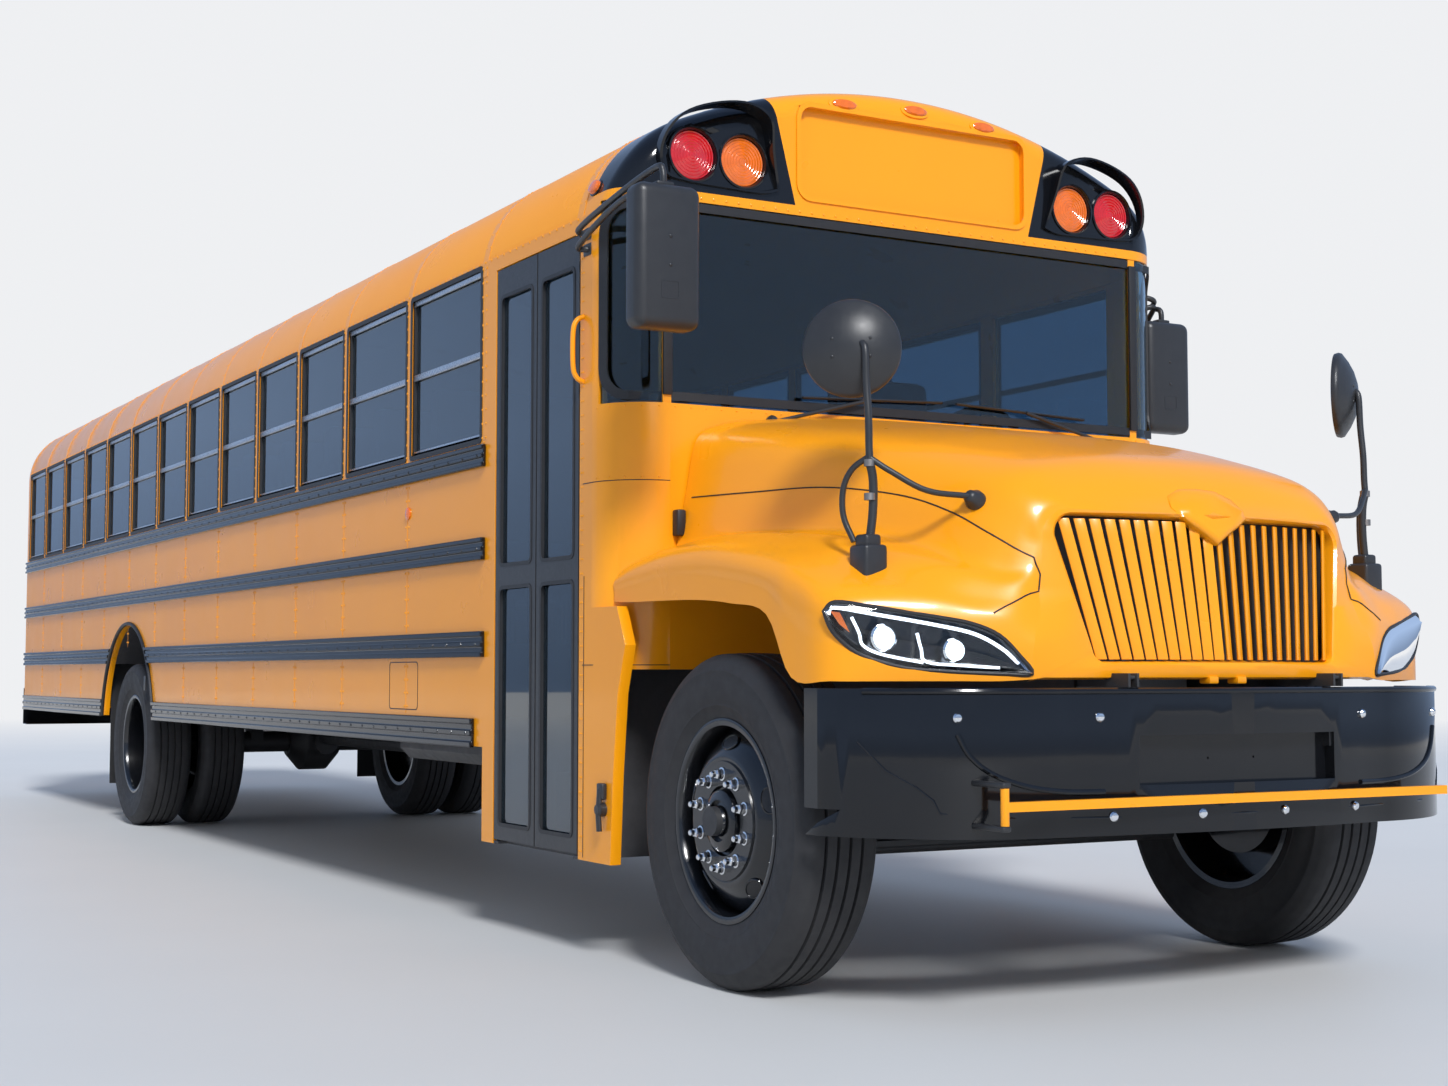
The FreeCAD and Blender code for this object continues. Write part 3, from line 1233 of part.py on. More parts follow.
def door_leaf(name, rear, front, pivot_x):
    """A glazed leaf seen from the side: tall upper light, short lower light."""
    frame = box(name + "_blank", (rear, front), ("-body_half", "-body_half + door_leaf_thick"),
                ("door_bottom_z", "door_top_z"))
    inner = (f"{rear} + door_stile", f"{front} - door_stile")
    lights = (("door_bottom_z + 60", "door_belt_z - door_belt_height / 2"),
              ("door_belt_z + door_belt_height / 2", "door_top_z - 110"))
    holes = [box(name + "_light", inner, ("-body_half - wall", "-body_half + 2 * wall"), span)
             for span in lights]
    panes = [box(name + "_pane", inner, ("-body_half + 12", "-body_half + 12 + glass_thick"), span)
             for span in lights]
    for low, high in (("door_bottom_z - 5", "door_bottom_z + 22"), ("door_top_z - 22", "door_top_z + 5")):
        holes.append(rod(name + "_socket", "z", (pivot_x, "-body_half + door_pivot_depth"),
                         "door_pin_radius + running_gap", low, high))
    return cut(name, frame, holes), group(name + "_glass", panes)


def make_entry_door():
    """Two leaves that part at the split, each on pins at its jamb."""
    rear_pivot, front_pivot = DOOR_PIVOTS
    front, front_glass = door_leaf("door_leaf_front", "door_split_x + door_split_gap / 2",
                                   "door_front_x - door_jamb_gap", front_pivot)
    rear, rear_glass = door_leaf("door_leaf_rear", "door_rear_x + door_jamb_gap",
                                 "door_split_x - door_split_gap / 2", rear_pivot)
    node(front, "door_leaf_front")
    node(front_glass, "door_glass_front")
    node(rear, "door_leaf_rear")
    node(rear_glass, "door_glass_rear")


REAR_HINGE_LINE = ("(rear_x - hinge_radius - 1)", "(-rear_door_half + rear_door_gap / 2)")
REAR_HINGE_HEIGHTS = ("(rear_door_bottom_z + 150)", "((rear_door_bottom_z + rear_door_top_z) / 2)",
                      "(rear_door_top_z - 150)")


def rear_hinge_halves():
    """The wall's half of each hinge: two barrels, their strap and the pin."""
    hinge_x, hinge_y = REAR_HINGE_LINE
    pieces = []
    for z in REAR_HINGE_HEIGHTS:
        pieces.append(rod("hinge_pin", "z", (hinge_x, hinge_y), "hinge_pin_radius",
                          f"{z} - hinge_half_length", f"{z} + hinge_half_length"))
        for low, high in ((f"{z} - hinge_half_length", f"{z} - hinge_half_length / 2 - running_gap"),
                          (f"{z} + hinge_half_length / 2 + running_gap", f"{z} + hinge_half_length")):
            pieces.append(rod("wall_barrel", "z", (hinge_x, hinge_y), "hinge_radius", low, high))
            pieces.append(box("wall_strap", (f"{hinge_x} - 4", "rear_x + 1"), (f"{hinge_y} - 90", hinge_y),
                              (low, high)))
    return pieces


def make_rear_door():
    span = ("-rear_door_half + rear_door_gap", "rear_door_half - rear_door_gap")
    blank = box("rear_door_blank", ("rear_x", "rear_x + wall"), span,
                ("rear_door_bottom_z + rear_door_gap", "rear_door_top_z - rear_door_gap"))
    inner = ("-rear_door_half + 110", "rear_door_half - 110")
    lights = (("rear_door_bottom_z + 90", "1640"), ("rear_window_low_z - 80", "rear_door_top_z - 110"))
    holes = [box("rear_door_light", ("rear_x - wall", "rear_x + 2 * wall"), inner, light)
             for light in lights]
    panes = [box("rear_door_pane", ("rear_x + 10", "rear_x + 10 + glass_thick"), inner, light)
             for light in lights]
    leaf = cut("rear_door_pierced", blank, holes)
    hinge_x, hinge_y = REAR_HINGE_LINE
    barrels, straps = [], []
    for z in REAR_HINGE_HEIGHTS:
        low, high = f"{z} - hinge_half_length / 2", f"{z} + hinge_half_length / 2"
        barrels.append(rod("leaf_barrel", "z", (hinge_x, hinge_y), "hinge_radius", low, high))
        straps.append(box("leaf_strap", (f"{hinge_x} - 4", "rear_x"), (hinge_y, f"{hinge_y} + 90"),
                          (low, high)))
    bores = [rod("leaf_bore", "z", (hinge_x, hinge_y), "hinge_pin_radius + running_gap",
                 "rear_door_bottom_z", "rear_door_top_z")]
    whole = fuse("rear_door_hung", [leaf] + barrels + straps)
    node(cut("rear_door", whole, bores), "rear_door")
    node(group("rear_door_glass", panes), "rear_door_glass")


def make_stop_arm():
    """A blank eight-sided blade on two straps, folded back along the left side."""
    half = "(stop_across / 2)"
    short = f"({half} * tan(22.5deg))"
    centre_x = f"(stop_pivot_x - 60 - {half})"
    corners = []
    for across, up in ((half, f"-{short}"), (half, short), (short, half), (f"-{short}", half),
                       (f"-{half}", short), (f"-{half}", f"-{short}"), (f"-{short}", f"-{half}"),
                       (short, f"-{half}")):
        corners.append((f"{centre_x} + {across}", f"stop_centre_z + {up}"))
    face = "(body_half + rail_proud + arm_gap)"
    blade = pad("stop_blade", "XZ", corners, face, f"{face} + stop_plate")
    straps = [box("stop_strap", (f"{centre_x} + {half} - 20", "stop_pivot_x"), (face, f"{face} + stop_plate"),
                  (f"stop_centre_z + {low}", f"stop_centre_z + {low} + 30"))
              for low in ("-80", "50")]
    barrel = rod("stop_barrel", "z", ("stop_pivot_x", f"{face} + 9"), "9", "stop_centre_z - 80",
                 "stop_centre_z + 80")
    node(fuse("stop_arm", [blade, barrel] + straps), "stop_arm")


def make_crossing_arm():
    """A slim bar folded across the bumper, on an upright hinge barrel."""
    face = "(bumper_x + 11)"
    bar = box("crossing_bar", (face, "end_x"), ("-crossing_pivot_y", "-crossing_pivot_y + crossing_reach"),
              ("crossing_z - 13", "crossing_z + 13"))
    barrel = rod("crossing_barrel", "z", (f"{face} + 12", "-crossing_pivot_y"), "12",
                 "crossing_z - 50", "crossing_z + 50")
    node(fuse("crossing_arm", [bar, barrel]), "crossing_arm")


def make_arm_mounts():
    """The actuator cases that carry the stop arm and the crossing arm."""
    case_y = ("body_half", "body_half + rail_proud + 25")
    stop_case = box("stop_case", ("stop_pivot_x + 14", "stop_pivot_x + 114"), case_y,
                    ("stop_centre_z - 110", "stop_centre_z + 110"))
    case_ears = [box("stop_ear", ("stop_pivot_x - 9", "stop_pivot_x + 15"), case_y, span)
                 for span in (("stop_centre_z - 110", "stop_centre_z - 80.3"),
                              ("stop_centre_z + 80.3", "stop_centre_z + 110"))]
    raw_ears = [box("crossing_ear", ("bumper_x - 140", "bumper_x + 34"),
                    ("-crossing_pivot_y - 14", "-crossing_pivot_y + 14"), span)
                for span in (("crossing_z - 66", "crossing_z - 50.3"),
                             ("crossing_z + 50.3", "crossing_z + 66"))]
    stop_mount = fuse("stop_mount", [stop_case] + case_ears)
    bumper_bulk = pad("bumper_bulk", "XY", bumper_plan("0"), "0", "crown_z")
    front_ears = cut("crossing_ears", group("raw_ears", raw_ears), [bumper_bulk])
    node(group("arm_mounts", [stop_mount, front_ears]), "arm_mounts")


# ---------------------------------------------------------------- mirrors, lamps, inside

COLUMN_RISE = Vector(-250, 0, 160)

DOME = (
    # ahead of the mirror's rim, share of its radius
    (-22, 0.94),
    (0, 1),
    (34, 0.72),
    (52, 0.3),
)

def mirror_head(x, y, z):
    """A tall mirror case with cut corners."""
    half = size("mirror_half_width")
    depth = size("mirror_depth")
    height = size("mirror_height")
    case = Part.makeBox(depth, 2 * half, height, Vector(x - depth / 2, y - half, z - height / 2))
    return case.makeChamfer(0.3 * depth, case.Edges)


def make_mirrors():
    """Tall mirrors on paired arms from the eaves, beside the body's full width."""
    half = size("body_half")
    head_y = half + size("mirror_reach") - size("mirror_half_width")
    radius = size("arm_radius")
    root_x, root_z = size("mirror_root_x"), size("wall_top_z") - 70
    pieces = []
    for sign, x, z in ((-1, size("right_mirror_x"), size("right_mirror_z")),
                       (1, size("left_mirror_x"), size("left_mirror_z"))):
        top = z + size("mirror_height") / 2
        bottom = z - size("mirror_height") / 2
        piece = mirror_head(x, sign * head_y, z)
        for root, ends in ((root_z, (top + 70, top - 20)), (root_z - 160, (bottom + 120,))):
            points = [Vector(root_x, sign * half, root), Vector(root_x, sign * (half + 50), root)]
            piece = piece.fuse(limb(points + [Vector(x, sign * head_y, end) for end in ends], radius))
        pieces.append(shaped("mirror", piece))
    node(group("mirrors", pieces), "mirrors")


def make_hood_mirrors():
    """Domed cross-view mirrors, each on a stalk from the fender and a brace from the hood."""
    x = size("front_axle_x") + size("cross_mirror_ahead")
    y, z = size("cross_mirror_y"), size("cross_mirror_z")
    reach = size("cross_mirror_radius")
    rings = []
    for along, share in DOME:
        rings.append([Vector(x + along, y + share * reach * math.cos(step * math.pi / 10),
                             z + share * reach * math.sin(step * math.pi / 10)) for step in range(20)])
    stalk = limb([Vector(x + 20, y, z - 110), Vector(x + 50, y, z - 420), Vector(x + 60, y, z - 660)],
                 size("stalk_radius"))
    brace = limb([Vector(x + 25, y, z - 75), Vector(x - 204, y - 40, z - 287),
                  Vector(x - 344, y - 170, z - 293)], size("stalk_radius"))
    whole = faceted(rings).fuse(stalk).fuse(brace).cut(FORMS["front_end"].Shape)
    kept = max(whole.Solids, key=lambda solid: solid.Volume)
    left = shaped("hood_mirror", kept)
    node(group("hood_mirrors", [left, mirrored("hood_mirror_right", left)]), "hood_mirrors")


def make_lamps():
    """Signal lamps under half-round visors, roof markers and tail lamps."""
    lamps = {"red": [], "amber": []}
    for colour, y, z, radius in SIGNAL_LAMPS:
        for side in (-1, 1):
            spot = (f"{side} * {y}", z)
            lens = rod("front_signal", "x", spot, radius, "screen_x - lamp_recess", "screen_x - 2", 24)
            brow = cut("signal_brow", rod("brow_bulk", "x", spot, f"{radius} + lamp_brow",
                                          "screen_x - lamp_recess", "screen_x + lamp_proud", 24),
                       [rod("brow_clear", "x", spot, radius, "screen_x - wall", "screen_x + wall", 24),
                        box("brow_below", ("screen_x - wall", "screen_x + wall"), ("-body_half", "body_half"),
                            ("wall_top_z", f"{z} - 1"))])
            lamps[colour].append(fuse("front_signal_lamp", [lens, brow]))
            lamps[colour].append(rod("rear_signal", "x", spot, radius, "rear_x - lamp_proud", "rear_x", 24))
    front_markers = []
    for place in ("-1", "0", "1"):
        span = (f"{place} * marker_pitch - marker_half", f"{place} * marker_pitch + marker_half")
        front_markers.append(box("cap_marker", ("screen_x - 75", "screen_x + 8"), span,
                                 ("crown_z - 90", "crown_z - 50")))
        lamps["red"].append(box("rear_marker", ("rear_x - 18", "rear_x"), span,
                                ("crown_z - 80", "crown_z - 45")))
    lamps["amber"].append(cut("cap_markers", group("cap_marker_blocks", front_markers), [FORMS["cap"]]))
    for side in ("-1", "1"):
        for z in ("tail_lamp_z", "tail_lamp_z - 230"):
            lamps["red"].append(rod("tail_lamp", "x", (f"{side} * signal_outer_y", z), "signal_radius",
                                    "rear_x - lamp_proud", "rear_x", 24))
    node(group("lamps_red", lamps["red"]), "lamps_red")
    node(group("lamps_amber", lamps["amber"]), "lamps_amber")


def make_seats():
    """Benches on legs, in two rows of places, and the driver's chair."""
    bench = pad("bench", "XZ", [
        ("0", "0"), ("45", "0"), ("45", "300"), ("420", "300"), ("420", "0"), ("465", "0"),
        ("465", "300"), ("470", "430"), ("110", "400"), ("60", "1080"), ("-30", "1080"), ("0", "300")],
        "0", "seat_width")
    bench.Visibility = False
    seats = []
    for index in range(int(size("seat_rows"))):
        x = f"seat_first_x - {index} * seat_pitch"
        for y in ("body_half - wall - 10 - seat_width", "-body_half + wall + 10"):
            seats.append(copy_at("bench_place", bench, x, y, "floor_top_z"))
    chair = pad("driver_chair", "XZ", [
        ("0", "0"), ("430", "0"), ("430", "380"), ("470", "500"), ("100", "470"),
        ("40", "1150"), ("-60", "1150"), ("-20", "380")], "driver_y - chair_half", "driver_y + chair_half")
    put(chair, "driver_x - 700", "driver_y - chair_half", "floor_top_z")
    housings = [rod("seat_clear", "y", ("rear_axle_x", "arch_centre_z"), "arch_radius + housing_wall",
                    "-body_half", "body_half")]
    benches = cut("benches", group("bench_rows", seats), housings)
    node(group("seats", [benches, chair]), "seats")


def make_dashboard():
    face_x = "screen_x - wall"
    dash = pad("dash", "XZ", [
        (f"{face_x} - 197", "dash_low_z"), (face_x, "dash_low_z"), (face_x, "dash_low_z + dash_height"),
        (f"{face_x} - 147", "dash_low_z + dash_height - 20"),
        (f"{face_x} - 227", "dash_low_z + dash_height - 120")],
        "-dash_half", "dash_half")
    foot = Vector(size("driver_x") + 250, size("driver_y"), size("wheel_z") - 160)
    column = shaped("column", limb([foot, foot + COLUMN_RISE], size("column_radius")))
    node(fuse("dashboard", [dash, column]), "dashboard")


def make_steering_wheel():
    """Rim, hub and three spokes on the column's axis."""
    pieces = [
        cut("wheel_ring", rod("ring_outside", "z", ("0", "0"), "wheel_radius + 14", "18", "46", 30),
            [rod("ring_inside", "z", ("0", "0"), "wheel_radius - 14", "0", "60", 30)]),
        rod("wheel_boss", "z", ("0", "0"), "50", "0.5", "42", 12)]
    for angle in (0, 120, 240):
        spoke = box("wheel_spoke", ("30", "wheel_radius - 5"), ("-11", "11"), ("22", "38"))
        spoke.Placement = Placement(Vector(), Rotation(Vector(0, 0, 1), 90 + angle))
        pieces.append(spoke)
    wheel = fuse("wheel_solid", pieces)
    wheel.Placement = Placement(Vector(), Rotation(Vector(0, 0, 1), COLUMN_RISE))
    node(put(wheel, "driver_x", "driver_y", "wheel_z"), "steering_wheel")


def main():
    make_side_walls()
    make_roof()
    make_front_cap()
    make_rear_wall()
    make_cowl()
    make_windshield()
    make_windows()
    make_rear_glass()
    make_floor()
    make_steps()
    make_rub_rails()
    make_frame()
    make_front_axle()
    make_rear_axle()
    make_engine()
    make_tank()
    make_exhaust()
    make_mud_flaps()
    make_front_wheels()
    make_rear_wheels()
    make_knuckles()
    make_tie_rod()
    make_hood()
    make_grille()
    make_headlights()
    make_front_bumper()
    make_rear_bumper()
    make_entry_door()
    make_rear_door()
    make_stop_arm()
    make_crossing_arm()
    make_arm_mounts()
    make_mirrors()
    make_hood_mirrors()
    make_lamps()
    make_seats()
    make_dashboard()
    make_steering_wheel()
    doc.recompute()
    for thing in doc.Objects:
        if "Invalid" in thing.State or "Error" in thing.State:
            raise RuntimeError(f"{thing.Name} failed: {thing.State}")
    for piece in NODES:
        if piece.Shape.isNull() or not piece.Shape.isValid():
            raise RuntimeError(f"{piece.Label} has no sound shape")
    os.makedirs("parts", exist_ok=True)
    for piece in NODES:
        piece.Shape.exportStep(f"parts/{piece.Label}.step")


main()
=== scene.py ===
"""Looks of the school bus, built around its packed frame. Metres; +X forward, +Y driver's side, +Z up."""
import json
import math

import bmesh
import bpy
from mathutils import Matrix, Vector
from mathutils.bvhtree import BVHTree
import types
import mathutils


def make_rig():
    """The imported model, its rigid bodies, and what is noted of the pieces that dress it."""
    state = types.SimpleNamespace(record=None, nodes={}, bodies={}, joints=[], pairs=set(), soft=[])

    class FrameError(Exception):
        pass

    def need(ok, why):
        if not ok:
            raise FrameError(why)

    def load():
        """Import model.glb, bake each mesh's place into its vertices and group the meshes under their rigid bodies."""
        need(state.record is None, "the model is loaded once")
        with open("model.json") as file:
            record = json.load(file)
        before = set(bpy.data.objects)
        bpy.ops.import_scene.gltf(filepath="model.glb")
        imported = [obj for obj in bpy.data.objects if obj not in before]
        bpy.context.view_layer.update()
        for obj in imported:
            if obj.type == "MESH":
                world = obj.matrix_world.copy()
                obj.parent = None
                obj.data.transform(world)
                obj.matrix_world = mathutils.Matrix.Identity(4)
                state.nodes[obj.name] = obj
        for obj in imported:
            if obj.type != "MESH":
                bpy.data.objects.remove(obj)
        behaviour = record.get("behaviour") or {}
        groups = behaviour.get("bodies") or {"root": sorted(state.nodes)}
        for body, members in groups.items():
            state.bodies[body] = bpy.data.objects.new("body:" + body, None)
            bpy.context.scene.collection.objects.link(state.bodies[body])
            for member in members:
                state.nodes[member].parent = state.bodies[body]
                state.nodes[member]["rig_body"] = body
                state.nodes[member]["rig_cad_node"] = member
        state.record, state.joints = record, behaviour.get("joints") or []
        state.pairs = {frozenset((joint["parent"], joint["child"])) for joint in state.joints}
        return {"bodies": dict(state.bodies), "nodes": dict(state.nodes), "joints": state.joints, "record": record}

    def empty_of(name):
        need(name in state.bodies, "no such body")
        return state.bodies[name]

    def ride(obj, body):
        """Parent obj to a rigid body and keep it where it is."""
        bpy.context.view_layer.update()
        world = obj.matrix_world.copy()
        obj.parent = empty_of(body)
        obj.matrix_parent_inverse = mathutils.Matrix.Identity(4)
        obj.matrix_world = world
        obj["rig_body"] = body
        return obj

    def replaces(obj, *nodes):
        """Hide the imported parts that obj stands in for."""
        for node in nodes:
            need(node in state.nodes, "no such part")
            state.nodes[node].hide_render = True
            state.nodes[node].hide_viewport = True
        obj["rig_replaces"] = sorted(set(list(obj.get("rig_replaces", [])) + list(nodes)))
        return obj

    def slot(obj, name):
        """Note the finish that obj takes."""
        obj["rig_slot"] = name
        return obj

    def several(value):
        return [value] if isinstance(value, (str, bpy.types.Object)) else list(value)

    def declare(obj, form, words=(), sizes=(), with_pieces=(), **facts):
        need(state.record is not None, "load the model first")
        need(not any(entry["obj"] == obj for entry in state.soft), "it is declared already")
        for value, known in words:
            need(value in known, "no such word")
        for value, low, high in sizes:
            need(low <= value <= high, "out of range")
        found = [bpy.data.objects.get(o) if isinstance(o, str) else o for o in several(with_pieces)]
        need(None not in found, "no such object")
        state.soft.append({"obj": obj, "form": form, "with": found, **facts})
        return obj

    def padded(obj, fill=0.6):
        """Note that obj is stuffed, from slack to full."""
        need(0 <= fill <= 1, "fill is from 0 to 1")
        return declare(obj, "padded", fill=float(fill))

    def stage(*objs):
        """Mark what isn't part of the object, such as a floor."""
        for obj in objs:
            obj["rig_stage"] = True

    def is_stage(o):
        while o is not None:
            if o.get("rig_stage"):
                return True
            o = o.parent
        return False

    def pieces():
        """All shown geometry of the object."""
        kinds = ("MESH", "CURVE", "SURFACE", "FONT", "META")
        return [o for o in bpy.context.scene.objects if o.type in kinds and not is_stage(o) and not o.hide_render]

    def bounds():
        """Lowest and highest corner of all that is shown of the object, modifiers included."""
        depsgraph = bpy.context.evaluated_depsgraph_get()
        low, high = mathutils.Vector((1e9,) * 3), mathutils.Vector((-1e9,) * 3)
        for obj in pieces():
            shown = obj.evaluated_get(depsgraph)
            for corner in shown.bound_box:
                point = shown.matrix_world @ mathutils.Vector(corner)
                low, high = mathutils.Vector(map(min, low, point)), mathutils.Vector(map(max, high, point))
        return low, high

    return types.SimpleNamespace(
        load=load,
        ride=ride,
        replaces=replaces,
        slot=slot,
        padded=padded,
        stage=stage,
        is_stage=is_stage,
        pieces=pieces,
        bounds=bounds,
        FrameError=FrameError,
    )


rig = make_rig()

bl_info = {
    "name": "School bus looks",
    "version": (1, 0, 0),
    "blender": (4, 5, 0),
    "location": "View3D > Sidebar > Bus",
    "description": "Builds the visible pieces of the school bus around its frame",
    "category": "Object",
}

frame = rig.load()
SIDES = (-1, 1)
FRONT_AXLE_X = 5.150
REAR_X = -6.080  # outer face of the rear wall
FLOOR_Z = 1.080  # top of the cabin's floor
ARCH_Z = 0.573  # centre height of the rear wheel arches
ARCH_RADIUS, ARCH_CLEAR = 0.712, 0.76  # of their lips, and of the bare ring round them without screws
# Lower edge, upper edge and front end of each rub rail
RAILS = ((1.762, 1.848, 3.425), (1.402, 1.488, 3.425), (1.029, 1.128, 3.425), (0.681, 0.793, 3.33))
RAIL_DEPTH = 0.0195
RIVET_PITCH = 0.055
FIRST_POST_END = 3.46  # window posts further forward have no rivets
DRIVER_WINDOW = (3.468, 4.233)  # rear and front of the driver's side window
HOUSING_X, HOUSING_Y, HOUSING_Z = 4.33, 0.52, 2.625  # where the cap's black lamp housings begin
HOUSING_LEAN = 0.25  # how much their inner edges lean outwards
STOP_X, STOP_Z, STOP_FACE_Y = 2.965, 1.620, 1.2522  # middle of the folded stop blade and its outer face
FAR_AHEAD, BACKWARDS = 8.0, Vector((-1, 0, 0))  # start and way of the casts onto the front
SIGNAL_Z, RED_Y, AMBER_Y, TAIL_Y = 2.755, 0.931, 0.732, 0.930  # lamps on the front and rear


# ---------------------------------------------------------------- sizes and colours

def length(name, default, text):
    return bpy.props.FloatProperty(name=name, description=text, default=default, unit="LENGTH", precision=4)


def colour(name, default, text):
    return bpy.props.FloatVectorProperty(name=name, description=text, default=default, subtype="COLOR",
                                         size=3, min=0.0, max=1.0)


class BusSizes(bpy.types.PropertyGroup):
    """Driving sizes of the visible pieces."""
    body_half: length("Body half width", 1.220, "From the middle plane to the side panels")
    screen_x: length("Screen plane", 4.567, "Front plane of the windshield and the cap")
    corner_radius: length("Front corner radius", 0.200, "Round front corners of the body seen from above")
    front_axle_x: length("Front axle", FRONT_AXLE_X, "Front axle ahead of the middle of the bus")
    rear_axle_x: length("Rear axle", -2.500, "Rear axle behind the middle of the bus")
    wheel_z: length("Wheel centre height", 0.515, "Axle height, which is the tyre's radius")
    shoulder_z: length("Shoulder height", 2.500, "Centre height of the roof's shoulder arc")
    shoulder_radius: length("Shoulder radius", 0.422, "Roof shoulder arc")
    crown_z: length("Crown height", 3.100, "Top of the roof")
    first_post_x: length("First post", 3.408, "First window post behind the entry door")
    wide_pitch: length("Wide window pitch", 0.828, "Pitch of the first two windows")
    window_pitch: length("Window pitch", 0.711, "Pitch of the other windows and of the seats")
    post_half: length("Post half width", 0.028, "Half of a window post")
    sill_z: length("Window sill", 1.864, "Lower edge of the side windows")
    head_z: length("Window head", 2.542, "Upper edge of the side windows")
    bar_z: length("Middle bar", 2.204, "Middle bar of the side windows")
    rivet_radius: length("Rivet radius", 0.0055, "Round head of a body rivet")


class BusColours(bpy.types.PropertyGroup):
    """Colours of the finishes."""
    body: colour("Body", (0.93, 0.36, 0.004), "School-bus yellow paint")
    body_deep: colour("Body, deep", (0.88, 0.32, 0.003), "Darker tone of the yellow paint")
    black: colour("Gloss black", (0.004, 0.0045, 0.006), "Bumper, rails and lamp housings")
    satin: colour("Satin black", (0.030, 0.031, 0.034), "Mirrors and door frames")
    glass: colour("Tinted glass", (0.10, 0.18, 0.26), "Side windows")
    screen: colour("Screen glass", (0.44, 0.62, 0.70), "Windshield")
    metal: colour("Bright metal", (0.62, 0.63, 0.65), "Window bars")
    rubber: colour("Rubber", (0.020, 0.020, 0.022), "Tyres and gaskets")
    red: colour("Red lens", (0.60, 0.008, 0.012), "Red lamps and the stop blade")
    amber: colour("Amber lens", (0.86, 0.17, 0.006), "Amber lamps")
    seat: colour("Seat vinyl", (0.020, 0.035, 0.075), "Bench covers")
    studio: colour("Studio", (0.86, 0.87, 0.89), "Floor and backdrop")


# ---------------------------------------------------------------- finishes

FINISHES = {}


def shader_node(tree, kind, inputs=(), **settings):
    """A shader node. inputs are (socket, value) pairs, where a value may be another node's socket."""
    made = tree.nodes.new("ShaderNode" + kind)
    for key, value in settings.items():
        setattr(made, key, value)
    for socket, value in inputs:
        if isinstance(value, bpy.types.NodeSocket):
            tree.links.new(value, made.inputs[socket])
        else:
            made.inputs[socket].default_value = value
    return made


def noise(tree, place, scale):
    cloud = shader_node(tree, "TexNoise", (("Scale", scale), ("Detail", 3.0), ("Vector", place)))
    return cloud.outputs["Fac"]


def two_tones(tree, place, scale, light, deep):
    """A colour that wanders between two tones."""
    return shader_node(tree, "Mix", ((0, noise(tree, place, scale)), (6, (*light, 1.0)), (7, (*deep, 1.0))),
                       data_type="RGBA").outputs[2]


def finish(name, light, deep, roughness, grain=6.0, relief=0.0, relief_scale=700.0, **fixed):
    """A procedural finish: two close tones, an uneven roughness and, where asked, a fine relief."""
    material = bpy.data.materials.new(name)
    material.use_nodes = True
    tree = material.node_tree
    shader = tree.nodes["Principled BSDF"]
    place = shader_node(tree, "TexCoord").outputs["Object"]
    tree.links.new(two_tones(tree, place, grain, light, deep), shader.inputs["Base Color"])
    spread = shader_node(tree, "MapRange", (("To Min", 0.75 * roughness), ("To Max", 1.25 * roughness),
                                            ("Value", noise(tree, place, 3.0 * grain))))
    tree.links.new(spread.outputs["Result"], shader.inputs["Roughness"])
    if relief:
        bump = shader_node(tree, "Bump", (("Strength", relief), ("Distance", 0.002),
                                          ("Height", noise(tree, place, relief_scale))))
        tree.links.new(bump.outputs["Normal"], shader.inputs["Normal"])
    for socket, value in fixed.items():
        shader.inputs[socket.replace("_", " ")].default_value = value
    FINISHES[name] = material


def darker(tone, share=0.8):
    return tuple(share * part for part in tone)


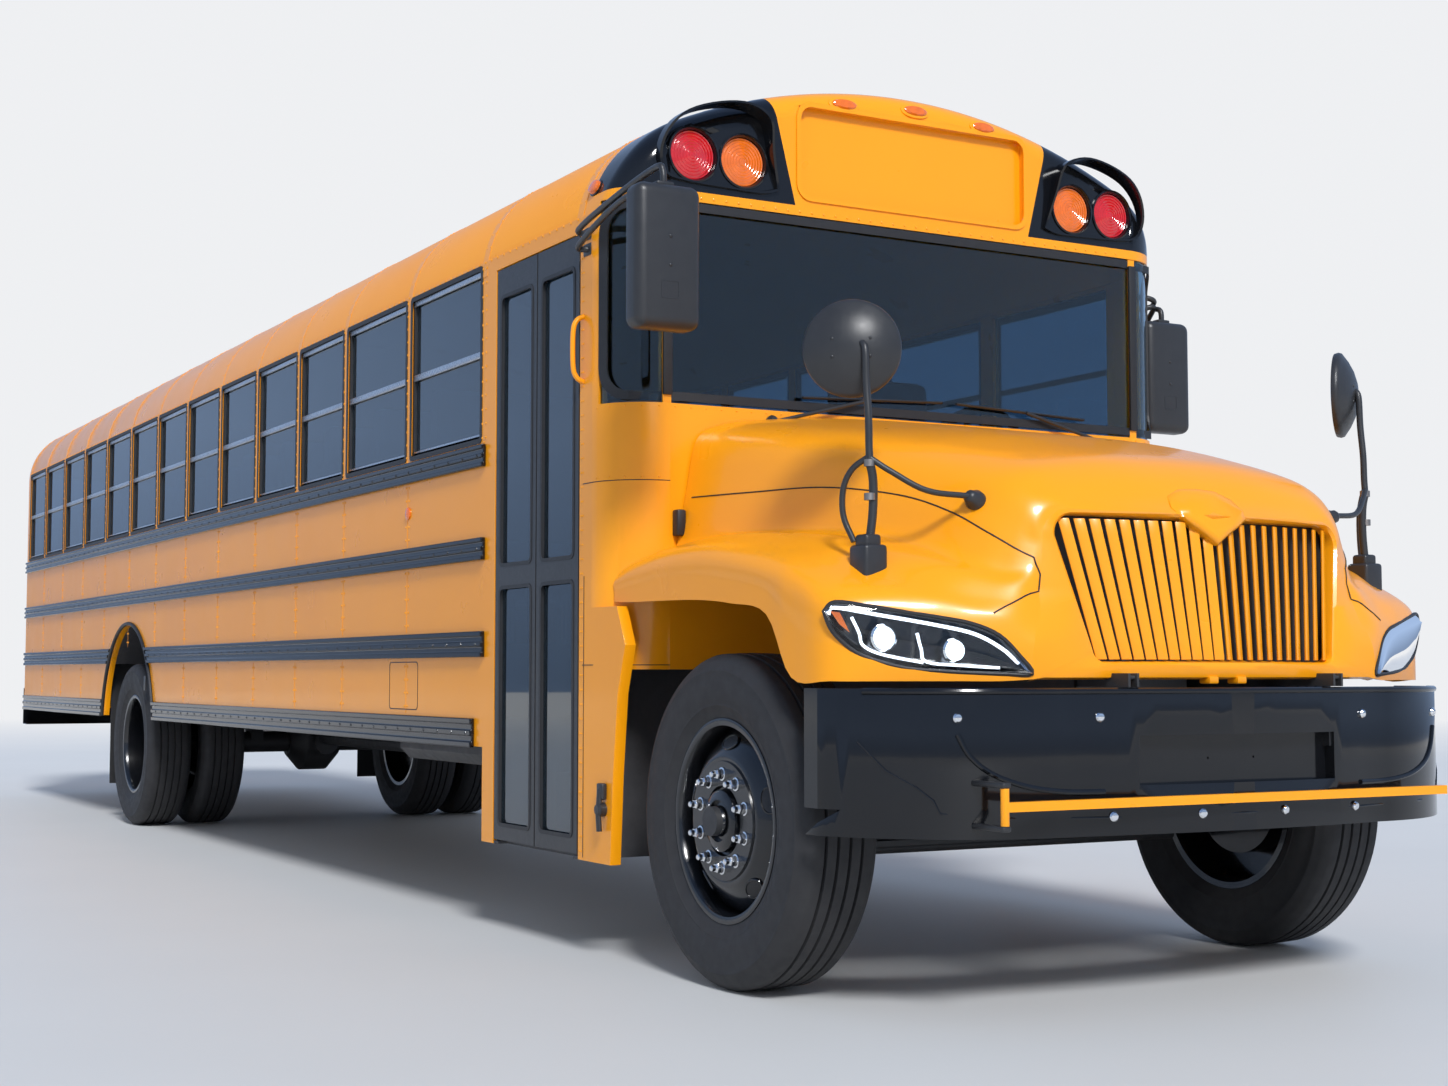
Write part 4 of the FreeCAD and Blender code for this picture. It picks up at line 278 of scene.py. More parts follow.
def make_finishes(colours):
    body, black, satin = tuple(colours.body), tuple(colours.black), tuple(colours.satin)
    rubber, metal, glass = tuple(colours.rubber), tuple(colours.metal), tuple(colours.glass)
    red, amber = tuple(colours.red), tuple(colours.amber)
    finish("body_yellow", body, tuple(colours.body_deep), 0.30, grain=1.4, relief=0.02, relief_scale=260.0,
           Coat_Weight=0.3, Coat_Roughness=0.06, Specular_IOR_Level=0.35)
    finish("black_gloss", black, darker(black, 1.5), 0.13, relief=0.02, relief_scale=200.0,
           Coat_Weight=0.25, Coat_Roughness=0.04, Specular_IOR_Level=0.35)
    finish("satin_black", satin, darker(satin, 0.7), 0.38, grain=20.0, relief=0.12)
    finish("chassis_black", darker(satin, 1.2), darker(satin, 0.7), 0.55, grain=9.0, relief=0.2,
           relief_scale=160.0)
    finish("gasket", rubber, darker(rubber, 0.6), 0.5, grain=30.0, relief=0.1)
    finish("tyre", darker(rubber, 1.25), rubber, 0.72, grain=8.0, relief=0.25, relief_scale=420.0)
    finish("wheel_black", darker(black, 1.3), black, 0.22, grain=8.0, relief=0.05, Coat_Weight=0.3)
    finish("bright_metal", metal, darker(metal), 0.28, grain=40.0, relief=0.08, Metallic=1.0)
    finish("chrome", (0.86, 0.87, 0.88), (0.72, 0.73, 0.75), 0.09, grain=30.0, Metallic=1.0)
    finish("steel", (0.36, 0.34, 0.32), (0.24, 0.21, 0.19), 0.45, grain=12.0, relief=0.15, Metallic=0.9)
    finish("cast_grey", (0.17, 0.18, 0.19), (0.11, 0.11, 0.12), 0.6, grain=15.0, relief=0.4,
           relief_scale=120.0)
    finish("floor_covering", (0.05, 0.05, 0.055), (0.03, 0.03, 0.034), 0.6, grain=25.0, relief=0.3)
    finish("dash_plastic", (0.045, 0.047, 0.052), (0.03, 0.031, 0.035), 0.55, grain=30.0, relief=0.3)
    finish("seat_vinyl", tuple(colours.seat), darker(colours.seat, 0.6), 0.42, grain=12.0, relief=0.35,
           relief_scale=500.0)
    finish("mirror_glass", (0.75, 0.78, 0.80), (0.68, 0.71, 0.74), 0.03, Metallic=1.0)
    finish("tinted_glass", glass, darker(glass, 0.85), 0.02, Transmission_Weight=0.92, IOR=1.85)
    finish("screen_glass", tuple(colours.screen), darker(colours.screen, 0.9), 0.02, Transmission_Weight=1.0)
    finish("clear_lens", (0.95, 0.97, 0.98), (0.90, 0.93, 0.95), 0.02, Transmission_Weight=1.0, IOR=1.3)
    for name, tone, shine in (("red_lens", red, 0.15), ("amber_lens", amber, 0.10)):
        finish(name, tone, darker(tone, 0.6), 0.15, grain=40.0, relief=0.5, relief_scale=90.0,
               Coat_Weight=1.0, Emission_Color=(*tone, 1.0), Emission_Strength=shine)
    finish("sign_red", red, darker(red, 0.8), 0.35, grain=30.0, relief=0.1)
    finish("white_edge", (0.80, 0.80, 0.80), (0.70, 0.70, 0.71), 0.4, grain=30.0)
    for name, tone, shine in (("led_white", (0.85, 0.92, 1.0), 1.6), ("beam_white", (0.78, 0.88, 1.0), 4.0)):
        finish(name, (0.9, 0.93, 1.0), (0.8, 0.85, 0.95), 0.2, Emission_Color=(*tone, 1.0),
               Emission_Strength=shine)


# ---------------------------------------------------------------- mesh helpers

def bevel(bm, edges, width, segments=2):
    bmesh.ops.bevel(bm, geom=edges, offset=width, offset_type="OFFSET", segments=segments, profile=0.5,
                    affect="EDGES", clamp_overlap=True, material=-1)


def bevel_edges(bm, width, angle):
    """Rounds the edges where two faces meet more sharply than the angle, in degrees."""
    limit = math.radians(angle)
    edges = [e for e in bm.edges if len(e.link_faces) == 2 and e.calc_face_angle(0.0) > limit]
    if width and edges:
        bevel(bm, edges, width)


def piece(name, bm, finishes, body, slot, replaced=(), smooth=32.0):
    """Turns a bmesh into a finished piece that rides on a body."""
    bm.normal_update()
    thing = plain_object(name, bm)
    for each in [finishes] if isinstance(finishes, str) else finishes:
        thing.data.materials.append(FINISHES[each])
    smoothed(thing.data, smooth)
    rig.ride(thing, body)
    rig.slot(thing, slot)
    if replaced:
        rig.replaces(thing, *replaced)
    return thing


def dress(node, finishes, slot, width=0.003, change=None):
    """A CAD node with rounded edges and its finish, in the place of the bare node.

    The copy's doubled points are merged and its flat faces joined before anything else. Large upright faces
    are shaded flat.
    """
    bm = bmesh.new()
    bm.from_mesh(frame["nodes"][node].data)
    bmesh.ops.remove_doubles(bm, verts=bm.verts, dist=1e-5)
    bmesh.ops.dissolve_limit(bm, angle_limit=math.radians(0.2), use_dissolve_boundaries=False,
                             verts=bm.verts, edges=bm.edges)
    if change:
        change(bm)
    bevel_edges(bm, width, 30.0)
    thing = piece(node + "_look", bm, finishes, frame["nodes"][node]["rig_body"], slot, [node])
    for polygon in thing.data.polygons:
        if polygon.area > 0.004 and max(abs(polygon.normal.x), abs(polygon.normal.y)) > 0.99999:
            polygon.use_smooth = False


def block(bm, low, high, width=0.0, material=0, segments=2):
    """A box between two corners, with rounded edges where a width is given."""
    low, high = Vector(low), Vector(high)
    made = bmesh.ops.create_cube(bm, size=1.0, matrix=Matrix.Translation((low + high) / 2)
                                 @ Matrix.Diagonal((*(high - low), 1.0)))
    for face in {f for v in made["verts"] for f in v.link_faces}:
        face.material_index = material
    if width:
        bevel(bm, list({e for v in made["verts"] for e in v.link_edges}), width, segments)


def frame_at(normal):
    """Two unit vectors square to a normal."""
    normal = Vector(normal).normalized()
    side = normal.cross(Vector((0, 0, 1)))
    if side.length < 0.1:
        side = normal.cross(Vector((0, 1, 0)))
    side.normalize()
    return side, side.cross(normal).normalized()


def skin(bm, rings, closed=True, again=False, turned=False, material=0):
    """Vertices at rings of points, joined ring to ring with four-sided faces.

    closed joins the two ends of each ring, again the last ring to the first. turned faces them the other way.
    """
    rings = [[bm.verts.new(point) for point in ring] for ring in rings]
    for first, second in zip(rings, rings[1:] + (rings[:1] if again else [])):
        count = len(first)
        for step in range(count if closed else count - 1):
            after = (step + 1) % count
            corners = [first[step], first[after], second[after], second[step]]
            bm.faces.new(corners[::-1] if turned else corners).material_index = material
    return rings


def lathe(bm, centre, axis, profile, sides=32):
    """Rings of (radius, reach along the axis) about an axis; a zero radius closes the end."""
    axis = Vector(axis).normalized()
    side, up = frame_at(axis)
    rings = []
    for radius, reach in profile:
        middle = Vector(centre) + axis * reach
        rings.append([bm.verts.new(middle + radius * (math.cos(a) * side + math.sin(a) * up))
                      for a in (turns(sides) if radius > 1e-6 else [0.0])])
    for first, second in zip(rings, rings[1:]):
        for step in range(sides):
            spots = ((first, step), (second, step), (second, step + 1), (first, step + 1))
            corners = list(dict.fromkeys(ring[spot % len(ring)] for ring, spot in spots))
            if len(corners) > 2:
                bm.faces.new(corners)


def smooth_path(points, steps=6):
    """Points of a soft curve through the given ones."""
    points = [Vector(p) for p in points]
    if len(points) < 3:
        return points
    ends = [2 * points[0] - points[1]] + points + [2 * points[-1] - points[-2]]
    path = []
    for a, b, c, d in zip(ends, ends[1:], ends[2:], ends[3:]):
        for step in range(steps):
            t = step / steps
            path.append(0.5 * (2 * b + (c - a) * t + (2 * a - 5 * b + 4 * c - d) * t * t
                               + (3 * b - a - 3 * c + d) * t ** 3))
    return path + [points[-1]]


def tube(bm, points, radius, sides=10, closed=False, flat=1.0):
    """A round bar along points. flat squeezes it along its second direction."""
    points = [Vector(p) for p in points]
    count = len(points)
    side = None
    rings = []
    for index, point in enumerate(points):
        before = points[index - 1] if index or closed else point
        after = points[(index + 1) % count] if index < count - 1 or closed else point
        ahead = (after - before).normalized()
        if side is None:
            side = frame_at(ahead)[0]
        side = (side - ahead * side.dot(ahead)).normalized()
        up = ahead.cross(side)
        rings.append([point + radius * (math.cos(a) * side + flat * math.sin(a) * up) for a in turns(sides)])
    rings = skin(bm, rings, again=closed)
    if not closed:
        bm.faces.new(list(reversed(rings[0])))
        bm.faces.new(rings[-1])


def rivets(bm, places, radius):
    """Round heads at (point, normal) places."""
    for point, normal in places:
        lathe(bm, point, normal, [(radius, -0.0004), (0.86 * radius, 0.28 * radius),
                                  (0.5 * radius, 0.5 * radius), (0.0, 0.56 * radius)], 8)


def rounded(left, right, low, high, radius, steps=5):
    """Corners of a rectangle with round corners, as (across, up) pairs."""
    corners = ((right - radius, high - radius, 0), (left + radius, high - radius, 90),
               (left + radius, low + radius, 180), (right - radius, low + radius, 270))
    return [(x + radius * math.cos(math.radians(start + 90 * step / steps)),
             z + radius * math.sin(math.radians(start + 90 * step / steps)))
            for x, z, start in corners for step in range(steps + 1)]


def band(bm, outer, inner, place, depth):
    """A flat ring between two outlines with as many corners. place turns (across, up, out) into a point."""
    skin(bm, [[place(a, b, out) for a, b in ring]
              for ring, out in ((outer, 0.0), (outer, depth), (inner, depth), (inner, 0.0))], again=True)


def clamp(value):
    return min(max(value, 0.0), 1.0)


def mesh_tree(mesh):
    """A tree for ray casts on a mesh."""
    bm = bmesh.new()
    bm.from_mesh(mesh)
    tree = BVHTree.FromBMesh(bm)
    bm.free()
    return tree


def edging(bm, limits, out, into, radii, place, depth):
    """A band round an opening (left, right, low, high), from out past its edge to into within it."""
    left, right, low, high = limits
    band(bm, rounded(left - out, right + out, low - out, high + out, radii[0]),
         rounded(left + into, right - into, low + into, high - into, radii[1]), place, depth)


def oval(bm, spot, normal, across, wide, tall, height, material=0):
    """A low oval dome on a surface, wide along across."""
    normal, across = Vector(normal).normalized(), Vector(across)
    across = (across - normal * across.dot(normal)).normalized()
    up = normal.cross(across)
    rings = []
    for share, lift in ((1.0, -0.006), (1.0, 0.5 * height), (0.86, 0.86 * height), (0.5, height)):
        middle = Vector(spot) + normal * lift
        rings.append([middle + share * (wide * math.cos(a) * across + tall * math.sin(a) * up)
                      for a in turns(28)])
    bm.faces.new(skin(bm, rings, material=material)[-1]).material_index = material


def spaced(start, stop, pitch):
    """Values from start up or down to stop, a pitch apart."""
    value = start
    while (value - stop) * pitch < 0:
        yield value
        value += pitch


def turns(count):
    """Equal angles round a circle."""
    return [2 * math.pi * step / count for step in range(count)]


def tidy_normals(*meshes):
    for bm in meshes:
        bmesh.ops.recalc_face_normals(bm, faces=bm.faces)


def side_place(side, sizes):
    """A place on a side panel from (x, z, out)."""
    return lambda x, z, out: Vector((x, side * (sizes.body_half + out), z))


def screen_place(sizes):
    """A place on the front wall from (distance from the middle, z, out), round the front corners."""
    radius = sizes.corner_radius
    flat = sizes.body_half - radius
    quarter = radius * math.pi / 2
    centre_x = sizes.screen_x - radius

    def place(s, z, out):
        side, reach = math.copysign(1.0, s), abs(s)
        if reach <= flat:
            return Vector((sizes.screen_x + out, s, z))
        if reach <= flat + quarter:
            turn = (reach - flat) / radius
            return Vector((centre_x + (radius + out) * math.cos(turn),
                           side * (flat + (radius + out) * math.sin(turn)), z))
        return Vector((centre_x - (reach - flat - quarter), side * (sizes.body_half + out), z))
    return place


def cross_place(x, way=1):
    """A place on an upright plane across the bus from (y, z, out); out runs forward, or back for way -1."""
    return lambda y, z, out: Vector((x + way * out, y, z))


def roof_point(sizes, share, out=0.0):
    """A point (y, z) and its normal on the roof's section; share runs from -1 at the right eave to 1."""
    corner_y = sizes.body_half - sizes.shoulder_radius
    rise = sizes.crown_z - sizes.shoulder_z
    reach = sizes.shoulder_radius
    crown = (corner_y ** 2 + rise ** 2 - reach ** 2) / (2 * (rise - reach))
    centre_z = sizes.crown_z - crown
    seam = math.atan2(corner_y, sizes.shoulder_z - centre_z)
    crown_length, shoulder_length = crown * seam, reach * (math.pi / 2 - seam)
    far = abs(share) * (crown_length + shoulder_length)
    side = math.copysign(1.0, share)
    middle_y, middle_z, radius, turn = 0.0, centre_z, crown, far / crown
    if far > crown_length:
        middle_y, middle_z, radius = corner_y, sizes.shoulder_z, reach
        turn = seam + (far - crown_length) / reach
    return ((side * (middle_y + (radius + out) * math.sin(turn)), middle_z + (radius + out) * math.cos(turn)),
            (side * math.sin(turn), math.cos(turn)))


def cut_away(thing, cutter):
    """Takes one mesh out of another and bakes the result into the first."""
    tool = thing.modifiers.new("cut", "BOOLEAN")
    tool.operation = "DIFFERENCE"
    tool.solver = "EXACT"
    tool.object = cutter
    bpy.context.view_layer.update()
    result = bpy.data.meshes.new_from_object(thing.evaluated_get(bpy.context.evaluated_depsgraph_get()))
    thing.modifiers.clear()
    thing.data = result
    bpy.data.objects.remove(cutter)


def smoothed(mesh, angle):
    """Smooth faces, with sharp edges above the angle, in degrees."""
    for polygon in mesh.polygons:
        polygon.use_smooth = True
    mesh.set_sharp_from_angle(angle=math.radians(angle))


def plain_object(name, bm):
    """An object from a bmesh, linked into the scene; the bmesh is freed."""
    mesh = bpy.data.meshes.new(name)
    bm.to_mesh(mesh)
    bm.free()
    thing = bpy.data.objects.new(name, mesh)
    bpy.context.scene.collection.objects.link(thing)
    return thing


def prism(name, corners, shift):
    """A closed block between a ring of points and the same ring moved by shift."""
    bm = bmesh.new()
    first = [bm.verts.new(Vector(c)) for c in corners]
    second = [bm.verts.new(Vector(c) + Vector(shift)) for c in corners]
    bm.faces.new(first)
    bm.faces.new(list(reversed(second)))
    for index in range(len(first)):
        after = (index + 1) % len(first)
        bm.faces.new([first[index], second[index], second[after], first[after]])
    tidy_normals(bm)
    return plain_object(name, bm)


# ---------------------------------------------------------------- body shell

def window_spans(sizes):
    """(rear, front) of each side window."""
    posts = [sizes.first_post_x - index * sizes.wide_pitch for index in range(3)]
    posts += [posts[-1] - index * sizes.window_pitch for index in range(1, 12)]
    spans = [(rear + sizes.post_half, front - sizes.post_half) for front, rear in zip(posts, posts[1:])]
    return spans[:-1] + [(-5.990, spans[-1][1])]


def make_body(sizes):
    for node, width in (("side_wall_right", 0.003), ("side_wall_left", 0.003), ("roof", 0.002),
                        ("rear_wall", 0.003), ("cowl", 0.003)):
        dress(node, "body_yellow", "body_yellow", width)
    for node, width in (("floor", 0.0), ("entry_steps", 0.002)):
        dress(node, "floor_covering", "floor_metal", width)
    dress("rub_rails", "black_gloss", "black_gloss", 0.006)
    bm = bmesh.new()
    for side in SIDES:
        place = side_place(side, sizes)
        for low, high, front in RAILS:
            z = (low + high) / 2
            for x in spaced(front - 0.04, -6.04, -0.15):
                if (x - sizes.rear_axle_x) ** 2 + (z - ARCH_Z) ** 2 > ARCH_CLEAR ** 2:
                    rivets(bm, [(place(x, z, RAIL_DEPTH), (0, side, 0))], 0.007)
    piece("rail_screws", bm, "black_gloss", "root", "black_gloss")


def make_body_rivets(sizes):
    """Rivet rows along the posts, the eaves, the skirt and the roof bows, with the seams beside them."""
    heads, seams = bmesh.new(), bmesh.new()
    spans = window_spans(sizes)
    for side in SIDES:
        place = side_place(side, sizes)

        def head(x, z, share=1.0):
            rivets(heads, [(place(x, z, 0.0), (0, side, 0))], sizes.rivet_radius * share)

        for _, front in spans:
            for x in (front + 0.010, front + 2 * sizes.post_half - 0.010):
                if x < FIRST_POST_END:
                    for z in spaced(sizes.sill_z + 0.01, sizes.head_z + 0.02, RIVET_PITCH):
                        head(x, z)
            middle = front + sizes.post_half
            for low, high in ((1.135, 1.395), (1.495, 1.755), (0.80, 1.02)):
                over_wheel = high < 1.1 and abs(middle - sizes.rear_axle_x) < 0.9
                if over_wheel or middle > 3.4:
                    continue
                block(seams, place(middle - 0.001, low, 0.0), place(middle + 0.001, high, 0.0012), material=1)
                for z in spaced(low + 0.03, high, RIVET_PITCH):
                    head(middle - 0.018, z)
                    head(middle + 0.018, z)
        for z, first in ((2.556, 4.30), (1.856, 3.45)):
            for x in spaced(4.25, -6.05, -0.06):
                if x < first:
                    head(x, z)
        for x, last in ((4.287, 2.5), (4.300, 2.6)):
            for z in spaced(0.36, 2.55, 0.05):
                if z < last:
                    head(x, z, 0.8)
    for x in [4.262] + [front + sizes.post_half for _, front in spans] + [-6.03]:
        for near in (-0.016, 0.016):
            for step in range(-24, 25):
                spot, normal = roof_point(sizes, step / 25)
                rivets(heads, [((x + near, *spot), (0, *normal))], sizes.rivet_radius)
        skin(seams, [[(x + near, *roof_point(sizes, step / 40, out)[0]) for step in range(-40, 41)]
                     for near, out in ((-0.026, 0.0), (-0.026, 0.0016), (0.026, 0.0016), (0.026, 0.0))],
             closed=False, material=1)
    tidy_normals(heads, seams)
    piece("body_rivets", heads, "body_yellow", "root", "body_yellow", smooth=60)
    piece("body_seams", seams, ["gasket", "body_yellow"], "root", "body_yellow")


def denser(ring, parts=12):
    """A ring of pairs with each side cut into parts."""
    return [(a + (c - a) * step / parts, b + (d - b) * step / parts)
            for (a, b), (c, d) in zip(ring, ring[1:] + ring[:1]) for step in range(parts)]


def make_glazing(sizes):
    dress("window_frames", "satin_black", "sash_metal", 0.002)
    for node in ("side_glass_left", "side_glass_right", "rear_glass", "rear_door_glass", "door_glass_front",
                 "door_glass_rear"):
        dress(node, "tinted_glass", "tinted_glass", 0.0)
    dress("windshield", "screen_glass", "screen_glass", 0.0)
    gasket, bars = bmesh.new(), bmesh.new()
    sill, head, bar, front_wall = sizes.sill_z, sizes.head_z, sizes.bar_z, sizes.screen_x
    for side in SIDES:
        place = side_place(side, sizes)
        for rear, front in window_spans(sizes) + ([DRIVER_WINDOW] if side > 0 else []):
            edging(gasket, (rear, front, sill, head), 0.009, 0.010, (0.022, 0.016), place, 0.003)
            for low, high in ((bar - 0.013, bar + 0.013), (head - 0.034, head - 0.012)):
                block(bars, place(rear + 0.016, low, -0.012), place(front - 0.016, high, -0.003), 0.002)
            block(bars, place(rear + 0.02, sill + 0.012, -0.014), place(front - 0.02, sill + 0.03, -0.006),
                  0.002)
    edge, low, high = 1.283, 1.893, 2.583
    band(gasket, denser(rounded(-edge, edge, low, high, 0.115, 10)),
         denser(rounded(-edge + 0.038, edge - 0.038, low + 0.030, high - 0.030, 0.085, 10)),
         screen_place(sizes), 0.007)
    for y in (-1.030, 1.030):
        block(gasket, (front_wall - 0.008, y - 0.017, low + 0.02),
              (front_wall + 0.006, y + 0.017, high - 0.02), 0.003)
    for side in SIDES:
        y = side * 0.81
        band(gasket, rounded(y - 0.26, y + 0.26, 1.890, 2.552, 0.05),
             rounded(y - 0.235, y + 0.235, 1.915, 2.527, 0.03), cross_place(REAR_X, -1), 0.003)
    tidy_normals(gasket)
    piece("window_gaskets", gasket, "gasket", "root", "black_gloss")
    piece("window_bars", bars, "bright_metal", "root", "sash_metal")
    wipers = bmesh.new()
    for y, way in ((-0.622, 1), (0.884, -1)):
        x = front_wall
        lathe(wipers, (x - 0.004, y, 1.842), (1, 0, 0.2),
              [(0.022, 0), (0.022, 0.02), (0.012, 0.034), (0, 0.036)], 14)
        tube(wipers, smooth_path([(x + 0.022, y, 1.842), (x + 0.030, y + way * 0.10, 1.868),
                                  (x + 0.024, y + way * 0.40, 1.945)]), 0.007)
        tube(wipers, [(x + 0.016, y + way * 0.12, 1.936), (x + 0.016, y + way * 0.72, 1.958)], 0.009, 6,
             flat=0.6)
    piece("wipers", wipers, "satin_black", "root", "mirror_black")


def in_black_corner(point):
    """Whether a place on the cap belongs to the black lamp housing."""
    edge = HOUSING_Y + (point.z - 2.63) * HOUSING_LEAN
    return point.z > HOUSING_Z and abs(point.y) > edge and point.x > HOUSING_X


def split_cap(bm):
    """Cuts the cap along the edges of its black lamp housings and gives them the second finish."""
    for point, normal in (((4.5, -HOUSING_Y, 2.63), (0, -1.0, -HOUSING_LEAN)),
                          ((4.5, HOUSING_Y, 2.63), (0, 1.0, -HOUSING_LEAN)),
                          ((4.5, 0, HOUSING_Z), (0, 0, 1)), ((HOUSING_X, 0, 2.7), (1, 0, 0))):
        bmesh.ops.bisect_plane(bm, geom=[*bm.verts, *bm.edges, *bm.faces], dist=1e-5, plane_co=point,
                               plane_no=normal)
    for face in bm.faces:
        if in_black_corner(face.calc_center_median()):
            face.material_index = 1


def make_front_cap(sizes):
    dress("front_cap", ["body_yellow", "black_gloss"], "body_yellow", 0.0, change=split_cap)
    x = sizes.screen_x
    path = [(0.590, 2.665), (0.625, 2.80), (0.650, 2.905), (0.74, 2.945), (0.86, 2.935), (0.98, 2.893),
            (1.050, 2.825), (1.075, 2.74), (1.045, 2.672), (0.95, 2.655), (0.80, 2.650), (0.66, 2.648)]
    loop = smooth_path([(0, y, z) for y, z in path + path[:1]], 4)[:-1]
    centre = Vector((0, 0.83, 2.79))
    visor = bmesh.new()
    for side in SIDES:
        rings = []
        for grow, reach in ((1.0, -0.004), (1.0, 1.0), (0.955, 1.0), (0.93, 0.0)):
            ring = []
            for point in loop:
                height = (point.z - 2.648) / 0.30
                out = reach if reach <= 0 else 0.012 + 0.062 * max(height, 0) ** 1.3
                spot = centre + (point - centre) * grow
                ring.append((x + out, side * spot.y, spot.z))
            rings.append(ring)
        skin(visor, rings)
    tidy_normals(visor)
    piece("lamp_visors", visor, "black_gloss", "root", "black_gloss", smooth=50)
    trim = bmesh.new()
    band(trim, rounded(-0.515, 0.515, 2.645, 3.005, 0.06), rounded(-0.497, 0.497, 2.663, 2.987, 0.045),
         cross_place(x), 0.006)
    bevel_edges(trim, 0.003, 40)
    rivets(trim, [((x, y, 2.604), (1, 0, 0)) for y in spaced(-1.0, 1.0, 0.05)], sizes.rivet_radius)
    tidy_normals(trim)
    piece("cap_trim", trim, "body_yellow", "root", "body_yellow")


def make_front_details(sizes):
    """Seams and rivets of the cowl, the grab handle, the panel latches and the filler door."""
    place = screen_place(sizes)
    seams = bmesh.new()
    for z in (1.620, 0.995):
        for side in SIDES:
            line = [place(side * (1.02 + (1.40 - 1.02) * step / 10), z, 0.0006) for step in range(11)]
            tube(seams, line, 0.0016, 6)
    for side in SIDES:
        tube(seams, [side_place(side, sizes)(4.313, z, 0.0004) for z in (0.34, 1.30)], 0.0014, 6)
    piece("cowl_seams", seams, "gasket", "root", "black_gloss")
    rows = bmesh.new()
    for z, nearest in ((1.874, -1.0), (1.632, 1.0)):
        for s in spaced(-1.30, 1.30, 0.06):
            if abs(s) > nearest:
                point = place(s, z, 0.0)
                rivets(rows, [(point, place(s, z, 0.01) - point)], sizes.rivet_radius * 0.8)
    tidy_normals(rows)
    piece("cowl_rivets", rows, "body_yellow", "root", "body_yellow", smooth=60)
    handle = bmesh.new()
    half = sizes.body_half
    tube(handle, smooth_path([(4.300, -half - out, z) for out, z in (
        (0.0, 2.205), (0.026, 2.190), (0.040, 2.150), (0.040, 2.030), (0.026, 1.990), (0.0, 1.975))]), 0.009)
    piece("grab_handle", handle, "body_yellow", "root", "body_yellow")
    latch, door = bmesh.new(), bmesh.new()
    for side in SIDES:
        y = side * half
        block(latch, (4.455, y, 0.545), (4.500, y + side * 0.020, 0.600), 0.006)
        tube(latch, [(4.477, y + side * out, z) for out, z in ((0.016, 0.58), (0.022, 0.50), (0.018, 0.44))],
             0.013, 10, flat=0.7)
        lathe(latch, (4.477, y, 0.512), (0, side, 0),
              [(0.024, 0), (0.024, 0.022), (0.016, 0.03), (0, 0.03)], 16)
        block(latch, (-2.03, y, 0.86), (-1.99, y + side * 0.008, 0.95), 0.003)
        band(door, rounded(2.38, 2.72, 0.815, 1.015, 0.02), rounded(2.384, 2.716, 0.819, 1.011, 0.018),
             side_place(side, sizes), 0.001)
    tidy_normals(latch, door)
    piece("panel_latches", latch, "satin_black", "root", "mirror_black")
    piece("filler_door", door, "gasket", "root", "black_gloss")


# ---------------------------------------------------------------- front end

HOOD = (
    # x ahead of the axle, sweep of the flanks, height of the top, then y and z of the shoulder, the edge, the
    # root, the fender's crown and its rim, and last the height of the rim's foot
    (-0.740, 0.0, 1.885, 0.834, 1.827, 0.926, 1.768, 1.015, 1.385, 1.120, 1.310, 1.190, 1.258, 1.212),
    (-0.560, 0.0, 1.875, 0.834, 1.817, 0.924, 1.760, 1.000, 1.395, 1.105, 1.355, 1.190, 1.296, 1.203),
    (-0.320, 0.0, 1.840, 0.815, 1.785, 0.898, 1.728, 0.975, 1.412, 1.095, 1.385, 1.190, 1.322, 1.200),
    (-0.080, 0.0, 1.800, 0.790, 1.744, 0.865, 1.690, 0.945, 1.415, 1.085, 1.392, 1.190, 1.325, 1.195),
    (0.130, 0.0, 1.768, 0.752, 1.708, 0.830, 1.655, 0.912, 1.408, 1.074, 1.376, 1.190, 1.306, 1.178),
    (0.340, 0.0, 1.730, 0.705, 1.664, 0.785, 1.612, 0.875, 1.392, 1.060, 1.348, 1.190, 1.270, 1.140),
    (0.480, 0.0, 1.696, 0.672, 1.630, 0.748, 1.580, 0.842, 1.370, 1.045, 1.312, 1.190, 1.228, 0.955),
    (0.652, 0.0, 1.650, 0.622, 1.585, 0.694, 1.535, 0.790, 1.335, 0.985, 1.252, 1.165, 1.160, 0.945),
    (0.760, 0.0, 1.612, 0.585, 1.550, 0.650, 1.500, 0.745, 1.295, 0.895, 1.215, 1.000, 1.130, 0.945),
    (0.835, 0.010, 1.555, 0.560, 1.500, 0.618, 1.455, 0.690, 1.265, 0.790, 1.180, 0.860, 1.090, 0.945),
    (0.890, 0.035, 1.480, 0.545, 1.462, 0.600, 1.412, 0.635, 1.265, 0.700, 1.160, 0.755, 1.060, 0.945),
    (0.928, 0.0, 1.438, 0.524, 1.436, 0.578, 1.390, 0.602, 1.265, 0.630, 1.130, 0.672, 1.020, 0.950),
)


def hood_section(row):
    """Half of one section as (y, z), from the middle of the top to the foot."""
    _, _, top, sy, sz, ey, ez, ry, rz, cy, cz, my, mz, foot = row
    return [(0.0, top), (0.45 * sy, top - 0.10 * (top - sz)), (0.82 * sy, top - 0.52 * (top - sz)), (sy, sz),
            (ey, ez), ((ey + ry) / 2, (ez + rz) / 2 + 0.01), (ry, rz), ((ry + cy) / 2, (rz + cz) / 2 + 0.006),
            (cy, cz), (0.35 * cy + 0.65 * my, 0.45 * cz + 0.55 * mz + 0.012), (my, mz), (my, (mz + foot) / 2),
            (my, foot)]


HOOD_SEAMS = (
    # x ahead of the axle and z, cast onto the skin from each side
    ((-0.530, 1.560), (-0.200, 1.553), (0.150, 1.543), (0.450, 1.500), (0.640, 1.440), (0.770, 1.370),
     (0.868, 1.296)),
    ((0.868, 1.296), (0.884, 1.240), (0.888, 1.185), (0.872, 1.135)),
)

FACE_HEIGHT = 1.21


